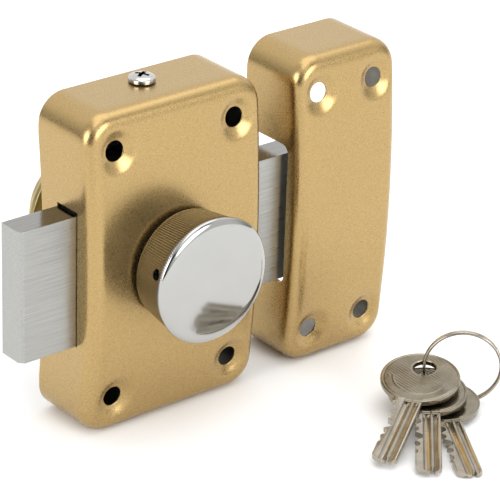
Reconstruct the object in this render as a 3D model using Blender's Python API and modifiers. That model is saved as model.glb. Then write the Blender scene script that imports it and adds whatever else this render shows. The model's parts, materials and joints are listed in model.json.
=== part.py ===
"""Rim deadlock with an inside knob, an outside key cylinder, a matching keeper and a bunch of keys.

Frame: +X is the way the bolt is thrown, +Y points to the door, +Z is up. The origin is on the
underside of the case, at mid width and mid depth. Everything is in metres.
"""
import math

import bmesh
import bpy
from mathutils import Matrix, Vector

MM = 0.001
GAP = 0.3 * MM                       # clearance between pieces that touch

# Case and keeper shells
CASE_WIDTH = 66 * MM
CASE_HEIGHT = 106 * MM
CASE_DEPTH = 25.5 * MM
SHEET = 1.3 * MM
CORNER_RADIUS = 9 * MM
EDGE_RADIUS = 2.8 * MM
CROWN = 2.0 * MM                     # how far the front bulges at mid height
WALL_RELIEF = 2.2 * MM               # how far the rear edge of a wall arches forward
PLATE = 2 * MM
COVER_SCREW_X = -1 * MM
COVER_SCREW_Y = 4.2 * MM
COVER_SCREW_HEAD_RADIUS = 4.25 * MM
COVER_SCREW_HEAD_HEIGHT = 2.3 * MM
COVER_SCREW_SHANK = 2 * MM
FIXING_X = 22.5 * MM
FIXING_Z = 41 * MM
FIXING_HOLE_RADIUS = 3.2 * MM
KEEPER_WIDTH = 41 * MM
KEEPER_X = 67.4 * MM
KEEPER_FIXING_X = 11.3 * MM
KEEPER_SLOT_HALF = 24 * MM
KEEPER_SLOT_SETBACK = 4.1 * MM       # front edge of the keeper's slot, behind its front

# Bolt and its drive
BOLT_HEIGHT = 43.4 * MM
BOLT_THICKNESS = 9.6 * MM
BOLT_SETBACK = 5.9 * MM              # front of the bolt behind the front of the case
BOLT_DROP = 0.7 * MM                 # middle of the bolt below the knob's axis
BOLT_LEFT = -53.4 * MM
BOLT_LENGTH = 111.8 * MM
BOLT_CHAMFER = 1.6 * MM
MODULE = 0.8 * MM
PINION_TEETH = 10
BACKLASH = 0.3 * MM
PRESSURE_ANGLE = math.radians(20)
RACK_ADDENDUM = 0.45 * MM
RACK_DEDENDUM = 1.1 * MM
DETENT_DEPTH = 1.5 * MM
SPRING_WIDTH = 6 * MM
SPRING_THICKNESS = 0.5 * MM
SPRING_Y = -2 * MM
SPRING_RIVET_X = -14 * MM
SPRING_RIVET_RADIUS = 1.2 * MM
RAIL_LENGTH = 56 * MM
RAIL_SHEET = 2 * MM
RAIL_FLANGE = 10.5 * MM
RIVET_X = 20 * MM
RIVET_Z = 28.3 * MM                  # rail rivets above and below the middle of the bolt
RIVET_RADIUS = 1.5 * MM
HUB_RADIUS = 5 * MM
CUP_RADIUS = 3.6 * MM                # recess of the hub that takes the tailpiece
CUP_FLOOR = 7.75 * MM
CROSS_PIN_Y = 5.5 * MM
CROSS_PIN_RADIUS = 0.75 * MM
FRONT_BUSH_RADIUS = 5.7 * MM
REAR_BUSH_RADIUS = 7.2 * MM
CIRCLIP_RADIUS = 6 * MM
CIRCLIP_Y = -7.85 * MM

# Knob
KNOB_RADIUS = 20.3 * MM
KNOB_BASE_RADIUS = 18.0 * MM
KNOB_REAR = 3.2 * MM                 # in front of the case
KNOB_FRONT = 19.9 * MM
KNOB_CAP = 2.4 * MM
KNOB_RIM = 1.6 * MM                  # rounding of the cap's rim
KNOB_WALL_RADIUS = 15 * MM           # inside of the knob's side
KNOB_BOSS_RADIUS = 6.5 * MM
KNOB_HOLLOW = 8 * MM
SPINDLE_RADIUS = 4.0 * MM
SHANK_RADIUS = 2.2 * MM
SET_SCREW_ANGLE = math.radians(163)
SET_SCREW_DEPTH = 14.3 * MM          # in front of the case
SET_SCREW_RADIUS = 1.5 * MM
SET_SCREW_END = 17.6 * MM            # its outer end, from the knob's axis

# Cylinder
CYLINDER_RADIUS = 14.5 * MM
CYLINDER_HEAD_RADIUS = 17.5 * MM
CYLINDER_LENGTH = 28.0 * MM
CYLINDER_HEAD = 5.2 * MM
PLUG_RADIUS = 6.5 * MM
PLUG_FLANGE_RADIUS = 7.7 * MM
PLUG_GROOVE_RADIUS = 5 * MM
KEYWAY_HALF = 1.2 * MM
TAIL_HALF_WIDTH = 2.8 * MM
TAIL_HALF_THICKNESS = 0.8 * MM
ROSE_RADIUS = 23.4 * MM
ROSE_STANDOFF = 17.3 * MM              # door face to the rear edge of the rose
ROSE_HEIGHT = 5.4 * MM
PIN_RADIUS = 1.2 * MM
PIN_PITCH = 4 * MM
PIN_COUNT = 5
PIN_FIRST_Y = 19.25 * MM
DRIVER_LENGTH = 2.4 * MM
CYLINDER_SCREW_X = 11.4 * MM
CYLINDER_SCREW_RADIUS = 1.5 * MM

# Keys and ring
KEY_THICKNESS = 2.0 * MM
KEY_BOW_RADIUS = 12.75 * MM
KEY_BOW_OFFSET = 5 * MM              # ring hole to the middle of the bow
KEY_HOLE_RADIUS = 3.7 * MM
KEY_REACH = 47.5 * MM                # ring hole to the tip
KEY_BLADE = 8 * MM
KEY_NECK_HALF = 5.2 * MM
KEY_CUTS = (1.9 * MM, 1.1 * MM, 2.4 * MM, 1.5 * MM, 0.8 * MM)
RING_RADIUS = 12.1 * MM
RING_WIRE = 0.55 * MM
RING_HALF_WIDTH = 1.0 * MM
RING_CENTRE = Vector((77.41 * MM, -61.44 * MM, 12.7 * MM))
RING_TURN = math.radians(-41)
# For each key: along the ring from its middle, hole past the wire, height at the hole, height at
# the tip, and heading.
KEY_PLACES = (
    ("key_1", -11.95 * MM, -0.5 * MM, 9.8 * MM, 1.9 * MM, math.radians(212.7)),
    ("key_2", -10.85 * MM, 1.2 * MM, 6.15 * MM, 1.1 * MM, math.radians(228.6)),
    ("key_3", -8.05 * MM, 1.35 * MM, 2.4 * MM, 0.2 * MM, math.radians(240.4)),
)

# Worked out from the above
FRONT_Y = -CASE_DEPTH / 2
DOOR_Y = CASE_DEPTH / 2
AXIS_Z = CASE_HEIGHT / 2
BOLT_Z = AXIS_Z - BOLT_DROP
BOLT_FRONT = FRONT_Y + BOLT_SETBACK
BOLT_REAR = BOLT_FRONT + BOLT_THICKNESS
PITCH_RADIUS = MODULE * PINION_TEETH / 2
TRAVEL = 2 * math.pi * PITCH_RADIUS  # bolt travel for one turn of the knob
PLATE_FRONT = DOOR_Y - PLATE
RACK_ROOT = PITCH_RADIUS + RACK_DEDENDUM
RAIL_NEAR = BOLT_HEIGHT / 2 + GAP    # middle of the bolt to the near side of a rail's web
SPINDLE_FRONT = FRONT_Y - KNOB_FRONT + KNOB_CAP + 1.2 * MM
CYLINDER_INNER = DOOR_Y + GAP
CYLINDER_OUTER = CYLINDER_INNER + CYLINDER_LENGTH

ALONG_Y = Matrix.Rotation(-math.pi / 2, 4, "X")              # local Z to +Y
FACING_Y = Matrix.Rotation(math.pi / 2, 4, "X")              # outline in XZ, local Z to -Y
FACING_X = Matrix.Rotation(math.pi / 2, 4, "Z") @ FACING_Y   # outline in YZ, local Z to +X


# ---------------------------------------------------------------- scene helpers

def clear_scene():
    for obj in list(bpy.data.objects):
        bpy.data.objects.remove(obj, do_unlink=True)


def collection(name):
    made = bpy.data.collections.new(name)
    bpy.context.scene.collection.children.link(made)
    return made


def material(name, color, roughness, metallic=1.0):
    made = bpy.data.materials.new(name)
    made.use_nodes = True
    shader = made.node_tree.nodes["Principled BSDF"]
    shader.inputs["Base Color"].default_value = (*color, 1)
    shader.inputs["Roughness"].default_value = roughness
    shader.inputs["Metallic"].default_value = metallic
    return made


def new_object(name, mesh, finish=None, place=None):
    """A part if it has a finish, or a cutter if it has none."""
    obj = bpy.data.objects.new(name, mesh)
    if place is not None:
        obj.matrix_world = place
    if finish is None:
        CUTTERS.objects.link(obj)
        obj.hide_render = True
        obj.display_type = "WIRE"
    else:
        PARTS.objects.link(obj)
        obj.data.materials.clear()
        obj.data.materials.append(finish)
    return obj


def to_mesh(obj):
    """Replace a curve, or an object with modifiers, by its plain welded mesh."""
    bpy.context.view_layer.update()
    graph = bpy.context.evaluated_depsgraph_get()
    mesh = bpy.data.meshes.new_from_object(obj.evaluated_get(graph))
    bm = bmesh.new()
    bm.from_mesh(mesh)
    bmesh.ops.remove_doubles(bm, verts=bm.verts, dist=0.000001)
    bmesh.ops.recalc_face_normals(bm, faces=bm.faces)
    bm.to_mesh(mesh)
    bm.free()
    name = obj.name
    place = obj.matrix_world.copy()
    group = obj.users_collection[0]
    finish = obj.data.materials[0] if obj.data.materials else None
    bpy.data.objects.remove(obj, do_unlink=True)
    made = bpy.data.objects.new(name, mesh)
    made.matrix_world = place
    group.objects.link(made)
    if finish:
        mesh.materials.clear()
        mesh.materials.append(finish)
    else:
        made.hide_render = True
        made.display_type = "WIRE"
    return made


def box(name, low, high, finish=None):
    bm = bmesh.new()
    bmesh.ops.create_cube(bm, size=1)
    low = Vector(low)
    high = Vector(high)
    bmesh.ops.scale(bm, vec=high - low, verts=bm.verts)
    bmesh.ops.translate(bm, vec=(low + high) / 2, verts=bm.verts)
    mesh = bpy.data.meshes.new(name)
    bm.to_mesh(mesh)
    bm.free()
    return new_object(name, mesh, finish)


def rod(name, radius, start, end, finish=None, sides=24):
    """A cylinder from one point to another."""
    start = Vector(start)
    end = Vector(end)
    along = end - start
    bm = bmesh.new()
    bmesh.ops.create_cone(bm, cap_ends=True, segments=sides, radius1=radius, radius2=radius,
                          depth=along.length)
    turn = Vector((0, 0, 1)).rotation_difference(along).to_matrix().to_4x4()
    bm.transform(Matrix.Translation((start + end) / 2) @ turn)
    mesh = bpy.data.meshes.new(name)
    bm.to_mesh(mesh)
    bm.free()
    return new_object(name, mesh, finish)


def turned(name, profile, finish=None, place=None, sides=48, closed=False):
    """A profile of (radius, height) points, running down its outer side, turned about local Z."""
    mesh = bpy.data.meshes.new(name)
    count = len(profile)
    edges = [(i, i + 1) for i in range(count - 1)]
    if closed:
        edges.append((count - 1, 0))
    mesh.from_pydata([(radius, 0, height) for radius, height in profile], edges, [])
    obj = new_object(name, mesh, finish, place)
    screw = obj.modifiers.new("Turn", "SCREW")
    screw.steps = sides
    screw.render_steps = sides
    screw.use_merge_vertices = True
    screw.merge_threshold = 0.000001
    return to_mesh(obj)


def extruded(name, outlines, thickness, finish=None, place=None):
    """A flat outline, with any holes after it, made thick about its own plane."""
    curve = bpy.data.curves.new(name, "CURVE")
    curve.dimensions = "2D"
    curve.fill_mode = "BOTH"
    curve.extrude = thickness / 2
    for outline in outlines:
        spline = curve.splines.new("POLY")
        spline.points.add(len(outline) - 1)
        for point, (x, y) in zip(spline.points, outline):
            point.co = (x, y, 0, 1)
        spline.use_cyclic_u = True
    return to_mesh(new_object(name, curve, finish, place))


def boolean(obj, other, operation="DIFFERENCE"):
    cut = obj.modifiers.new(operation.title(), "BOOLEAN")
    cut.operation = operation
    cut.solver = "EXACT"
    cut.object = other
    return obj


def joined(obj, *others):
    """Union of an object with helper solids, as one plain mesh."""
    for other in others:
        boolean(obj, other, "UNION")
    return to_mesh(obj)


def smooth(obj, angle=35):
    obj.data.shade_smooth()
    obj.data.set_sharp_from_angle(angle=math.radians(angle))
    return obj


def circle(x, y, radius, sides=16):
    return [(x + radius * math.cos(2 * math.pi * i / sides),
             y + radius * math.sin(2 * math.pi * i / sides)) for i in range(sides)]


def rounded_rectangle(half_x, half_y, radius, steps=6):
    points = []
    for sx, sy, first in ((1, 1, 0), (-1, 1, 90), (-1, -1, 180), (1, -1, 270)):
        for i in range(steps + 1):
            angle = math.radians(first + 90 * i / steps)
            points.append((sx * (half_x - radius) + radius * math.cos(angle),
                           sy * (half_y - radius) + radius * math.sin(angle)))
    return points


# ---------------------------------------------------------------- case and keeper

def crown_at(z):
    """How far the front stands forward at a height z from mid height."""
    return CROWN * (1 - (z / FIXING_Z) ** 2)


def pressed_shell(name, width, centre_x):
    """An open-backed box with rounded corners, a rounded front edge and a crowned front."""
    bm = bmesh.new()
    bmesh.ops.create_cube(bm, size=1)
    bmesh.ops.scale(bm, vec=(width, CASE_DEPTH, CASE_HEIGHT), verts=bm.verts)
    corners = [e for e in bm.edges if abs(e.verts[0].co.y - e.verts[1].co.y) > CASE_DEPTH / 2]
    bmesh.ops.bevel(bm, geom=corners, offset=CORNER_RADIUS, segments=6, profile=0.5,
                    affect="EDGES")
    rim = [e for e in bm.edges if all(v.co.y < FRONT_Y + 0.01 * MM for v in e.verts)]
    bmesh.ops.bevel(bm, geom=rim, offset=EDGE_RADIUS, segments=4, profile=0.5, affect="EDGES")
    back = [f for f in bm.faces if all(v.co.y > DOOR_Y - 0.01 * MM for v in f.verts)]
    bmesh.ops.delete(bm, geom=back, context="FACES_ONLY")
    bands = 9
    for i in range(1, bands):
        height = (i / bands - 0.5) * (CASE_HEIGHT - 2 * CORNER_RADIUS)
        whole = list(bm.verts) + list(bm.edges) + list(bm.faces)
        bmesh.ops.bisect_plane(bm, geom=whole, plane_co=(0, 0, height), plane_no=(0, 0, 1))
    for vert in bm.verts:
        forward = (DOOR_Y - vert.co.y) / CASE_DEPTH
        if forward > 0.5:
            vert.co.y -= crown_at(vert.co.z)
        elif abs(vert.co.z) < FIXING_Z:
            vert.co.y -= WALL_RELIEF * (1 - (vert.co.z / FIXING_Z) ** 2)
    bmesh.ops.translate(bm, vec=(centre_x, 0, AXIS_Z), verts=bm.verts)
    mesh = bpy.data.meshes.new(name)
    bm.to_mesh(mesh)
    bm.free()
    obj = new_object(name, mesh, GOLD)
    shell = obj.modifiers.new("Sheet", "SOLIDIFY")
    shell.thickness = SHEET
    shell.offset = -1
    shell.use_even_offset = True
    return to_mesh(obj)


def cut_fixing_holes(shell, name, centre_x, half_x):
    for i, (sx, sz) in enumerate(((-1, -1), (1, -1), (-1, 1), (1, 1))):
        x = centre_x + sx * half_x
        z = AXIS_Z + sz * FIXING_Z
        hole = rod(f"{name}_hole_{i}", FIXING_HOLE_RADIUS, (x, FRONT_Y - 4 * MM, z),
                   (x, FRONT_Y + 4 * MM, z), sides=16)
        boolean(shell, hole)


def case_cover():
    cover = pressed_shell("case_cover", CASE_WIDTH, 0)
    cut_fixing_holes(cover, "case", 0, FIXING_X)
    bottom = BOLT_Z - BOLT_HEIGHT / 2 - GAP
    top = BOLT_Z + BOLT_HEIGHT / 2 + 1.1 * MM
    reach = CASE_WIDTH / 2 + 2 * MM
    boolean(cover, box("bolt_slots", (-reach, BOLT_FRONT - GAP, bottom),
                       (reach, BOLT_REAR + GAP, top)))
    boolean(cover, rod("bush_hole", FRONT_BUSH_RADIUS + GAP, (0, FRONT_Y - 5 * MM, AXIS_Z),
                       (0, FRONT_Y + 5 * MM, AXIS_Z), sides=32))
    boolean(cover, rod("cover_screw_hole", COVER_SCREW_SHANK + GAP,
                       (COVER_SCREW_X, COVER_SCREW_Y, CASE_HEIGHT - 4 * MM),
                       (COVER_SCREW_X, COVER_SCREW_Y, CASE_HEIGHT + 4 * MM)))
    return smooth(cover)


def keeper():
    shell = pressed_shell("keeper", KEEPER_WIDTH, KEEPER_X)
    cut_fixing_holes(shell, "keeper", KEEPER_X, KEEPER_FIXING_X)
    depth = CASE_DEPTH + 6 * MM
    outline = rounded_rectangle(depth / 2, KEEPER_SLOT_HALF, 3 * MM, steps=4)
    front = FRONT_Y + KEEPER_SLOT_SETBACK
    place = Matrix.Translation((KEEPER_X - KEEPER_WIDTH / 2, front + depth / 2, AXIS_Z)) @ FACING_X
    boolean(shell, extruded("keeper_slot", [outline], 8 * MM, place=place))
    return smooth(shell)


def base_plate():
    half_x = CASE_WIDTH / 2 - SHEET - GAP
    half_z = CASE_HEIGHT / 2 - SHEET - GAP
    holes = [circle(sx * FIXING_X, sz * FIXING_Z, FIXING_HOLE_RADIUS, 12)
             for sx in (-1, 1) for sz in (-1, 1)]
    holes += [circle(sx * RIVET_X, sz * RIVET_Z - BOLT_DROP, RIVET_RADIUS + GAP, 12)
              for sx in (-1, 1) for sz in (-1, 1)]
    holes += [circle(sx * CYLINDER_SCREW_X, 0, CYLINDER_SCREW_RADIUS + GAP, 12) for sx in (-1, 1)]
    holes.append(circle(0, 0, REAR_BUSH_RADIUS + GAP, 32))
    outline = rounded_rectangle(half_x, half_z, CORNER_RADIUS - SHEET - GAP)
    place = Matrix.Translation((0, DOOR_Y - PLATE / 2, AXIS_Z)) @ FACING_Y
    plate = extruded("base_plate", [outline] + holes, PLATE, STEEL, place)
    top = AXIS_Z + half_z
    tab = box("cover_tab", (-7 * MM, COVER_SCREW_Y - 4 * MM, top - PLATE),
              (7 * MM, DOOR_Y - PLATE / 2, top))
    plate = joined(plate, tab)
    boolean(plate, rod("cover_tab_hole", COVER_SCREW_SHANK + GAP,
                       (COVER_SCREW_X, COVER_SCREW_Y, top - 4 * MM),
                       (COVER_SCREW_X, COVER_SCREW_Y, top + 2 * MM)))
    return plate


def cover_screw():
    seat = CASE_HEIGHT + GAP
    radius = COVER_SCREW_HEAD_RADIUS
    height = COVER_SCREW_HEAD_HEIGHT
    head = [(0, height), (1.6 * MM, height - 0.05 * MM), (2.8 * MM, height - 0.35 * MM),
            (3.6 * MM, height - 0.9 * MM), (radius, height - 1.6 * MM), (radius, 0),
            (COVER_SCREW_SHANK, 0), (COVER_SCREW_SHANK, -6.2 * MM), (1.5 * MM, -6.8 * MM),
            (0, -6.8 * MM)]
    place = Matrix.Translation((COVER_SCREW_X, COVER_SCREW_Y, seat))
    screw = turned("cover_screw", head, CHROME, place, sides=32)
    for half_x, half_y in ((2.1 * MM, 0.45 * MM), (0.45 * MM, 2.1 * MM)):
        low = (COVER_SCREW_X - half_x, COVER_SCREW_Y - half_y, seat + 0.7 * MM)
        high = (COVER_SCREW_X + half_x, COVER_SCREW_Y + half_y, seat + 3 * MM)
        boolean(screw, box("cross_recess", low, high))
    return smooth(screw)


# ---------------------------------------------------------------- bolt, guides and drive

def rack_edge():
    """The toothed upper edge of the bolt's window, from left to right, from the pinion's axis."""
    pitch = math.pi * MODULE
    half = pitch / 4 - BACKLASH / 2
    tip = PITCH_RADIUS - RACK_ADDENDUM
    slope = math.tan(PRESSURE_ANGLE)
    half_tip = half - RACK_ADDENDUM * slope
    half_root = half + RACK_DEDENDUM * slope
    points = []
    for i in range(-1, PINION_TEETH + 2):
        x = i * pitch
        points += [(x - half_root, RACK_ROOT), (x - half_tip, tip), (x + half_tip, tip),
                   (x + half_root, RACK_ROOT)]
    return points


def bolt():
    half = BOLT_HEIGHT / 2
    right = BOLT_LEFT + BOLT_LENGTH
    notch = 2.2 * MM
    top = []
    for x in (TRAVEL, 0):
        top += [(x + notch, half), (x + 0.5 * MM, half - DETENT_DEPTH),
                (x - 0.5 * MM, half - DETENT_DEPTH), (x - notch, half)]
    outline = [(BOLT_LEFT, -half), (right, -half), (right, half)] + top + [(BOLT_LEFT, half)]
    outline = [(x, z - BOLT_DROP) for x, z in outline]
    clear = PITCH_RADIUS + MODULE + 0.8 * MM
    window = [(TRAVEL + clear, RACK_ROOT), (TRAVEL + clear, -clear), (-clear, -clear),
              (-clear, RACK_ROOT)]
    window += rack_edge()
    place = Matrix.Translation((0, (BOLT_FRONT + BOLT_REAR) / 2, AXIS_Z)) @ FACING_Y
    bar = extruded("bolt", [outline, window], BOLT_THICKNESS, BRUSHED, place)
    bar.data.transform(place)
    bar.matrix_world = Matrix.Identity(4)
    bm = bmesh.new()
    bm.from_mesh(bar.data)
    ends = [e for e in bm.edges
            if all(abs(v.co.y - BOLT_FRONT) < 0.01 * MM for v in e.verts)
            and any(all(abs(v.co.x - x) < 0.01 * MM for v in e.verts) for x in (BOLT_LEFT, right))]
    bmesh.ops.bevel(bm, geom=ends, offset=BOLT_CHAMFER, segments=2, profile=0.5, affect="EDGES")
    bm.to_mesh(bar.data)
    bm.free()
    return bar


def guide_rail(name, side):
    """An angle fixed to the base plate, with its web beside the bolt's edge."""
    near = RAIL_NEAR
    web = RAIL_SHEET
    front = BOLT_FRONT - 2 * MM
    rear = PLATE_FRONT - GAP
    outline = [(front, near), (rear, near), (rear, near + RAIL_FLANGE),
               (rear - web, near + RAIL_FLANGE), (rear - web, near + web), (front, near + web)]
    outline = [(y, side * z) for y, z in outline]
    place = Matrix.Translation((0, 0, BOLT_Z)) @ FACING_X
    rail = extruded(name, [outline], RAIL_LENGTH, STEEL, place)
    for sx in (-1, 1):
        x = sx * RIVET_X
        z = BOLT_Z + side * RIVET_Z
        boolean(rail, rod(f"{name}_hole_{sx}", RIVET_RADIUS + GAP, (x, 5 * MM, z),
                          (x, DOOR_Y, z), sides=12))
    if side > 0:
        boolean(rail, box("spring_window", (-7 * MM, SPRING_Y - 4 * MM, BOLT_Z + near - MM),
                          (8 * MM, SPRING_Y + 4 * MM, BOLT_Z + near + web + MM)))
        z = BOLT_Z + near
        boolean(rail, rod("spring_rivet_hole", SPRING_RIVET_RADIUS + GAP,
                          (SPRING_RIVET_X, SPRING_Y, z - MM),
                          (SPRING_RIVET_X, SPRING_Y, z + 4 * MM), sides=12))
    return rail


def rail_rivets():
    profile = [(0, 1.2 * MM), (1.5 * MM, 1.1 * MM), (2.4 * MM, 0.6 * MM), (2.7 * MM, 0),
               (RIVET_RADIUS, 0), (RIVET_RADIUS, -4.4 * MM), (0, -4.4 * MM)]
    back = Matrix.Rotation(math.pi / 2, 4, "X")
    corners = ((-1, -1), (1, -1), (-1, 1), (1, 1))
    for number, (sx, sz) in enumerate(corners, 1):
        spot = (sx * RIVET_X, PLATE_FRONT - RAIL_SHEET - 2 * GAP, BOLT_Z + sz * RIVET_Z)
        turned(f"rail_rivet_{number}", profile, STEEL, Matrix.Translation(spot) @ back, 12)


def spring_rivet():
    radius = SPRING_RIVET_RADIUS
    profile = [(0, 0.9 * MM), (1.3 * MM, 0.8 * MM), (2.1 * MM, 0), (radius, 0),
               (radius, -3.1 * MM), (0, -3.1 * MM)]
    head = BOLT_Z + RAIL_NEAR + RAIL_SHEET + SPRING_THICKNESS + 2 * GAP
    place = Matrix.Translation((SPRING_RIVET_X, SPRING_Y, head))
    return turned("spring_rivet", profile, STEEL, place, sides=12)


def detent_spring():
    """A leaf whose nose sits in the bolt's notch."""
    low = RAIL_NEAR + RAIL_SHEET + GAP
    nose = BOLT_HEIGHT / 2 - DETENT_DEPTH + 0.5 * MM
    path = [(-17.5 * MM, low), (-7.6 * MM, low), (-5 * MM, low - 0.2 * MM), (-1 * MM, nose),
            (0, nose - 0.15 * MM), (1 * MM, nose), (4.5 * MM, low - 0.4 * MM), (6.5 * MM, low)]
    mesh = bpy.data.meshes.new("detent_spring")
    bm = bmesh.new()
    rows = []
    for x, z in path:
        rows.append([bm.verts.new((x, SPRING_Y + s * SPRING_WIDTH / 2, BOLT_Z + z))
                     for s in (-1, 1)])
    for a, b in zip(rows, rows[1:]):
        bm.faces.new((a[0], b[0], b[1], a[1]))
    bm.to_mesh(mesh)
    bm.free()
    leaf = new_object("detent_spring", mesh, SPRING_STEEL)
    thick = leaf.modifiers.new("Leaf", "SOLIDIFY")
    thick.thickness = SPRING_THICKNESS
    thick.offset = 1
    boolean(leaf, rod("leaf_hole", SPRING_RIVET_RADIUS + GAP,
                      (SPRING_RIVET_X, SPRING_Y, BOLT_Z + low - MM),
                      (SPRING_RIVET_X, SPRING_Y, BOLT_Z + low + 2 * MM), sides=12))
    return leaf


def pinion_outline():
    """An involute gear with a tooth space straight up."""
    base = PITCH_RADIUS * math.cos(PRESSURE_ANGLE)
    tip = PITCH_RADIUS + 0.6 * MM
    root = PITCH_RADIUS - MODULE
    half = (math.pi * MODULE / 4 - BACKLASH / 2) / PITCH_RADIUS
    involute = math.tan(PRESSURE_ANGLE) - PRESSURE_ANGLE

    def half_angle(radius):
        pressure = math.acos(min(1, base / radius))
        return half + involute - (math.tan(pressure) - pressure)

    radii = [root, base, (base + PITCH_RADIUS) / 2, PITCH_RADIUS, (PITCH_RADIUS + tip) / 2, tip]
    flank = [(radius, half_angle(max(radius, base))) for radius in radii]
    points = []
    step = 2 * math.pi / PINION_TEETH
    for tooth in range(PINION_TEETH):
        middle = math.pi / 2 + (tooth + 0.5) * step
        for radius, angle in flank:
            points.append((radius * math.cos(middle - angle), radius * math.sin(middle - angle)))
        for radius, angle in reversed(flank):
            points.append((radius * math.cos(middle + angle), radius * math.sin(middle + angle)))
    return points


def pinion():
    """The gear in the bolt's window, and the hub behind it that takes the tailpiece."""
    front = BOLT_FRONT + 0.2 * MM
    gear_rear = BOLT_REAR + 0.8 * MM
    place = Matrix.Translation((0, (front + gear_rear) / 2, AXIS_Z)) @ FACING_Y
    gear = extruded("pinion", [pinion_outline()], gear_rear - front, STEEL, place)
    rear = DOOR_Y - 0.5 * MM
    hub = rod("pinion_hub", HUB_RADIUS, (0, gear_rear - 0.4 * MM, AXIS_Z), (0, rear, AXIS_Z),
              sides=32)
    gear = joined(gear, hub)
    boolean(gear, rod("pinion_bore", SHANK_RADIUS + GAP, (0, front - MM, AXIS_Z),
                      (0, rear - MM, AXIS_Z)))
    boolean(gear, rod("pinion_cup", CUP_RADIUS, (0, CUP_FLOOR, AXIS_Z),
                      (0, rear + MM, AXIS_Z), sides=32))
    boolean(gear, rod("cross_pin_hole", CROSS_PIN_RADIUS + GAP, (0, CROSS_PIN_Y, AXIS_Z - 7 * MM),
                      (0, CROSS_PIN_Y, AXIS_Z + 7 * MM), sides=12))
    return gear


def spindle():
    """The shaft from the knob, through the front bush, to the pinion."""
    shoulder = BOLT_FRONT - GAP
    end = CUP_FLOOR - GAP
    profile = [(0, end), (SHANK_RADIUS, end), (SHANK_RADIUS, shoulder), (SPINDLE_RADIUS, shoulder),
               (SPINDLE_RADIUS, SPINDLE_FRONT), (0, SPINDLE_FRONT)]
    place = Matrix.Translation((0, 0, AXIS_Z)) @ ALONG_Y
    shaft = turned("spindle", profile, STEEL, place, sides=32)
    boolean(shaft, rod("spindle_pin_hole", CROSS_PIN_RADIUS + GAP,
                       (0, CROSS_PIN_Y, AXIS_Z - 5 * MM), (0, CROSS_PIN_Y, AXIS_Z + 5 * MM),
                       sides=12))
    return smooth(shaft)


def cross_pin():
    return rod("spindle_pin", CROSS_PIN_RADIUS, (0, CROSS_PIN_Y, AXIS_Z - HUB_RADIUS + 0.2 * MM),
               (0, CROSS_PIN_Y, AXIS_Z + HUB_RADIUS - 0.2 * MM), STEEL, sides=12)


def front_bush():
    """A flanged bush in the front of the case."""
    inner = SPINDLE_RADIUS + GAP
    wall = FRONT_Y - CROWN + SHEET
    outer = FRONT_BUSH_RADIUS
    flange = 7.5 * MM
    front = FRONT_Y - CROWN - 0.6 * MM
    rear = CIRCLIP_Y - 0.9 * MM
    profile = [(inner, rear), (outer, rear), (outer, wall + 1.5 * MM), (flange, wall + 1.5 * MM),
               (flange, wall + GAP), (outer, wall + GAP), (outer, front), (inner, front)]
    place = Matrix.Translation((0, 0, AXIS_Z)) @ ALONG_Y
    return smooth(turned("front_bush", profile, BRASS, place, sides=32, closed=True))


def clip(name, inner, outer, opening, y, thickness):
    """An open flat ring about the lock's axis, with its gap downwards."""
    steps = 18
    sweep = [opening / 2 + (2 * math.pi - opening) * i / steps for i in range(steps + 1)]
    outline = [(outer * math.sin(a), -outer * math.cos(a)) for a in sweep]
    outline += [(inner * math.sin(a), -inner * math.cos(a)) for a in reversed(sweep)]
    place = Matrix.Translation((0, y, AXIS_Z)) @ FACING_Y
    return extruded(name, [outline], thickness, SPRING_STEEL, place)


def rear_bush():
    inner = HUB_RADIUS + GAP
    flange = PLATE_FRONT - GAP
    outer = REAR_BUSH_RADIUS
    rim = 8 * MM
    rear = DOOR_Y - GAP
    front = CUP_FLOOR - 0.4 * MM
    profile = [(inner, rear), (outer, rear), (outer, flange), (rim, flange),
               (rim, flange - 1.3 * MM), (outer, flange - 1.3 * MM), (outer, front),
               (inner, front)]
    place = Matrix.Translation((0, 0, AXIS_Z)) @ ALONG_Y
    return smooth(turned("rear_bush", profile, BRASS, place, sides=32, closed=True))


# ---------------------------------------------------------------- knob

def knob_side_radius(y):
    """The knob's outer radius where its side is at y."""
    rear = FRONT_Y - KNOB_REAR
    front = FRONT_Y - KNOB_FRONT + KNOB_CAP
    share = (rear - y) / (rear - front)
    return KNOB_BASE_RADIUS + (KNOB_RADIUS - 0.5 * MM - KNOB_BASE_RADIUS) * share


def knob_body():
    rear = FRONT_Y - KNOB_REAR
    front = FRONT_Y - KNOB_FRONT + KNOB_CAP
    bore = SPINDLE_RADIUS + GAP
    floor = rear - KNOB_HOLLOW
    profile = [(bore, rear), (KNOB_BOSS_RADIUS, rear), (KNOB_BOSS_RADIUS, floor),
               (KNOB_WALL_RADIUS, floor), (KNOB_WALL_RADIUS, rear),
               (KNOB_BASE_RADIUS - 0.8 * MM, rear),
               (KNOB_BASE_RADIUS, rear - 0.8 * MM), (knob_side_radius(front), front),
               (0, front), (0, SPINDLE_FRONT - GAP), (bore, SPINDLE_FRONT - GAP)]
    place = Matrix.Translation((0, 0, AXIS_Z)) @ ALONG_Y
    return smooth(turned("knob_body", profile, CHROME, place, sides=40, closed=True))


def knob_cap():
    front = FRONT_Y - KNOB_FRONT
    rear = front + KNOB_CAP - GAP
    rim = KNOB_RIM
    profile = [(0, rear), (KNOB_RADIUS, rear)]
    for i in range(5):
        angle = math.radians(90 * i / 4)
        profile.append((KNOB_RADIUS - rim + rim * math.cos(angle),
                        front + 0.5 * MM + rim - rim * math.sin(angle)))
    profile += [(12 * MM, front + 0.2 * MM), (6 * MM, front + 0.05 * MM), (0, front)]
    place = Matrix.Translation((0, 0, AXIS_Z)) @ ALONG_Y
    return smooth(turned("knob_cap", profile, CHROME, place, sides=40))


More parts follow.
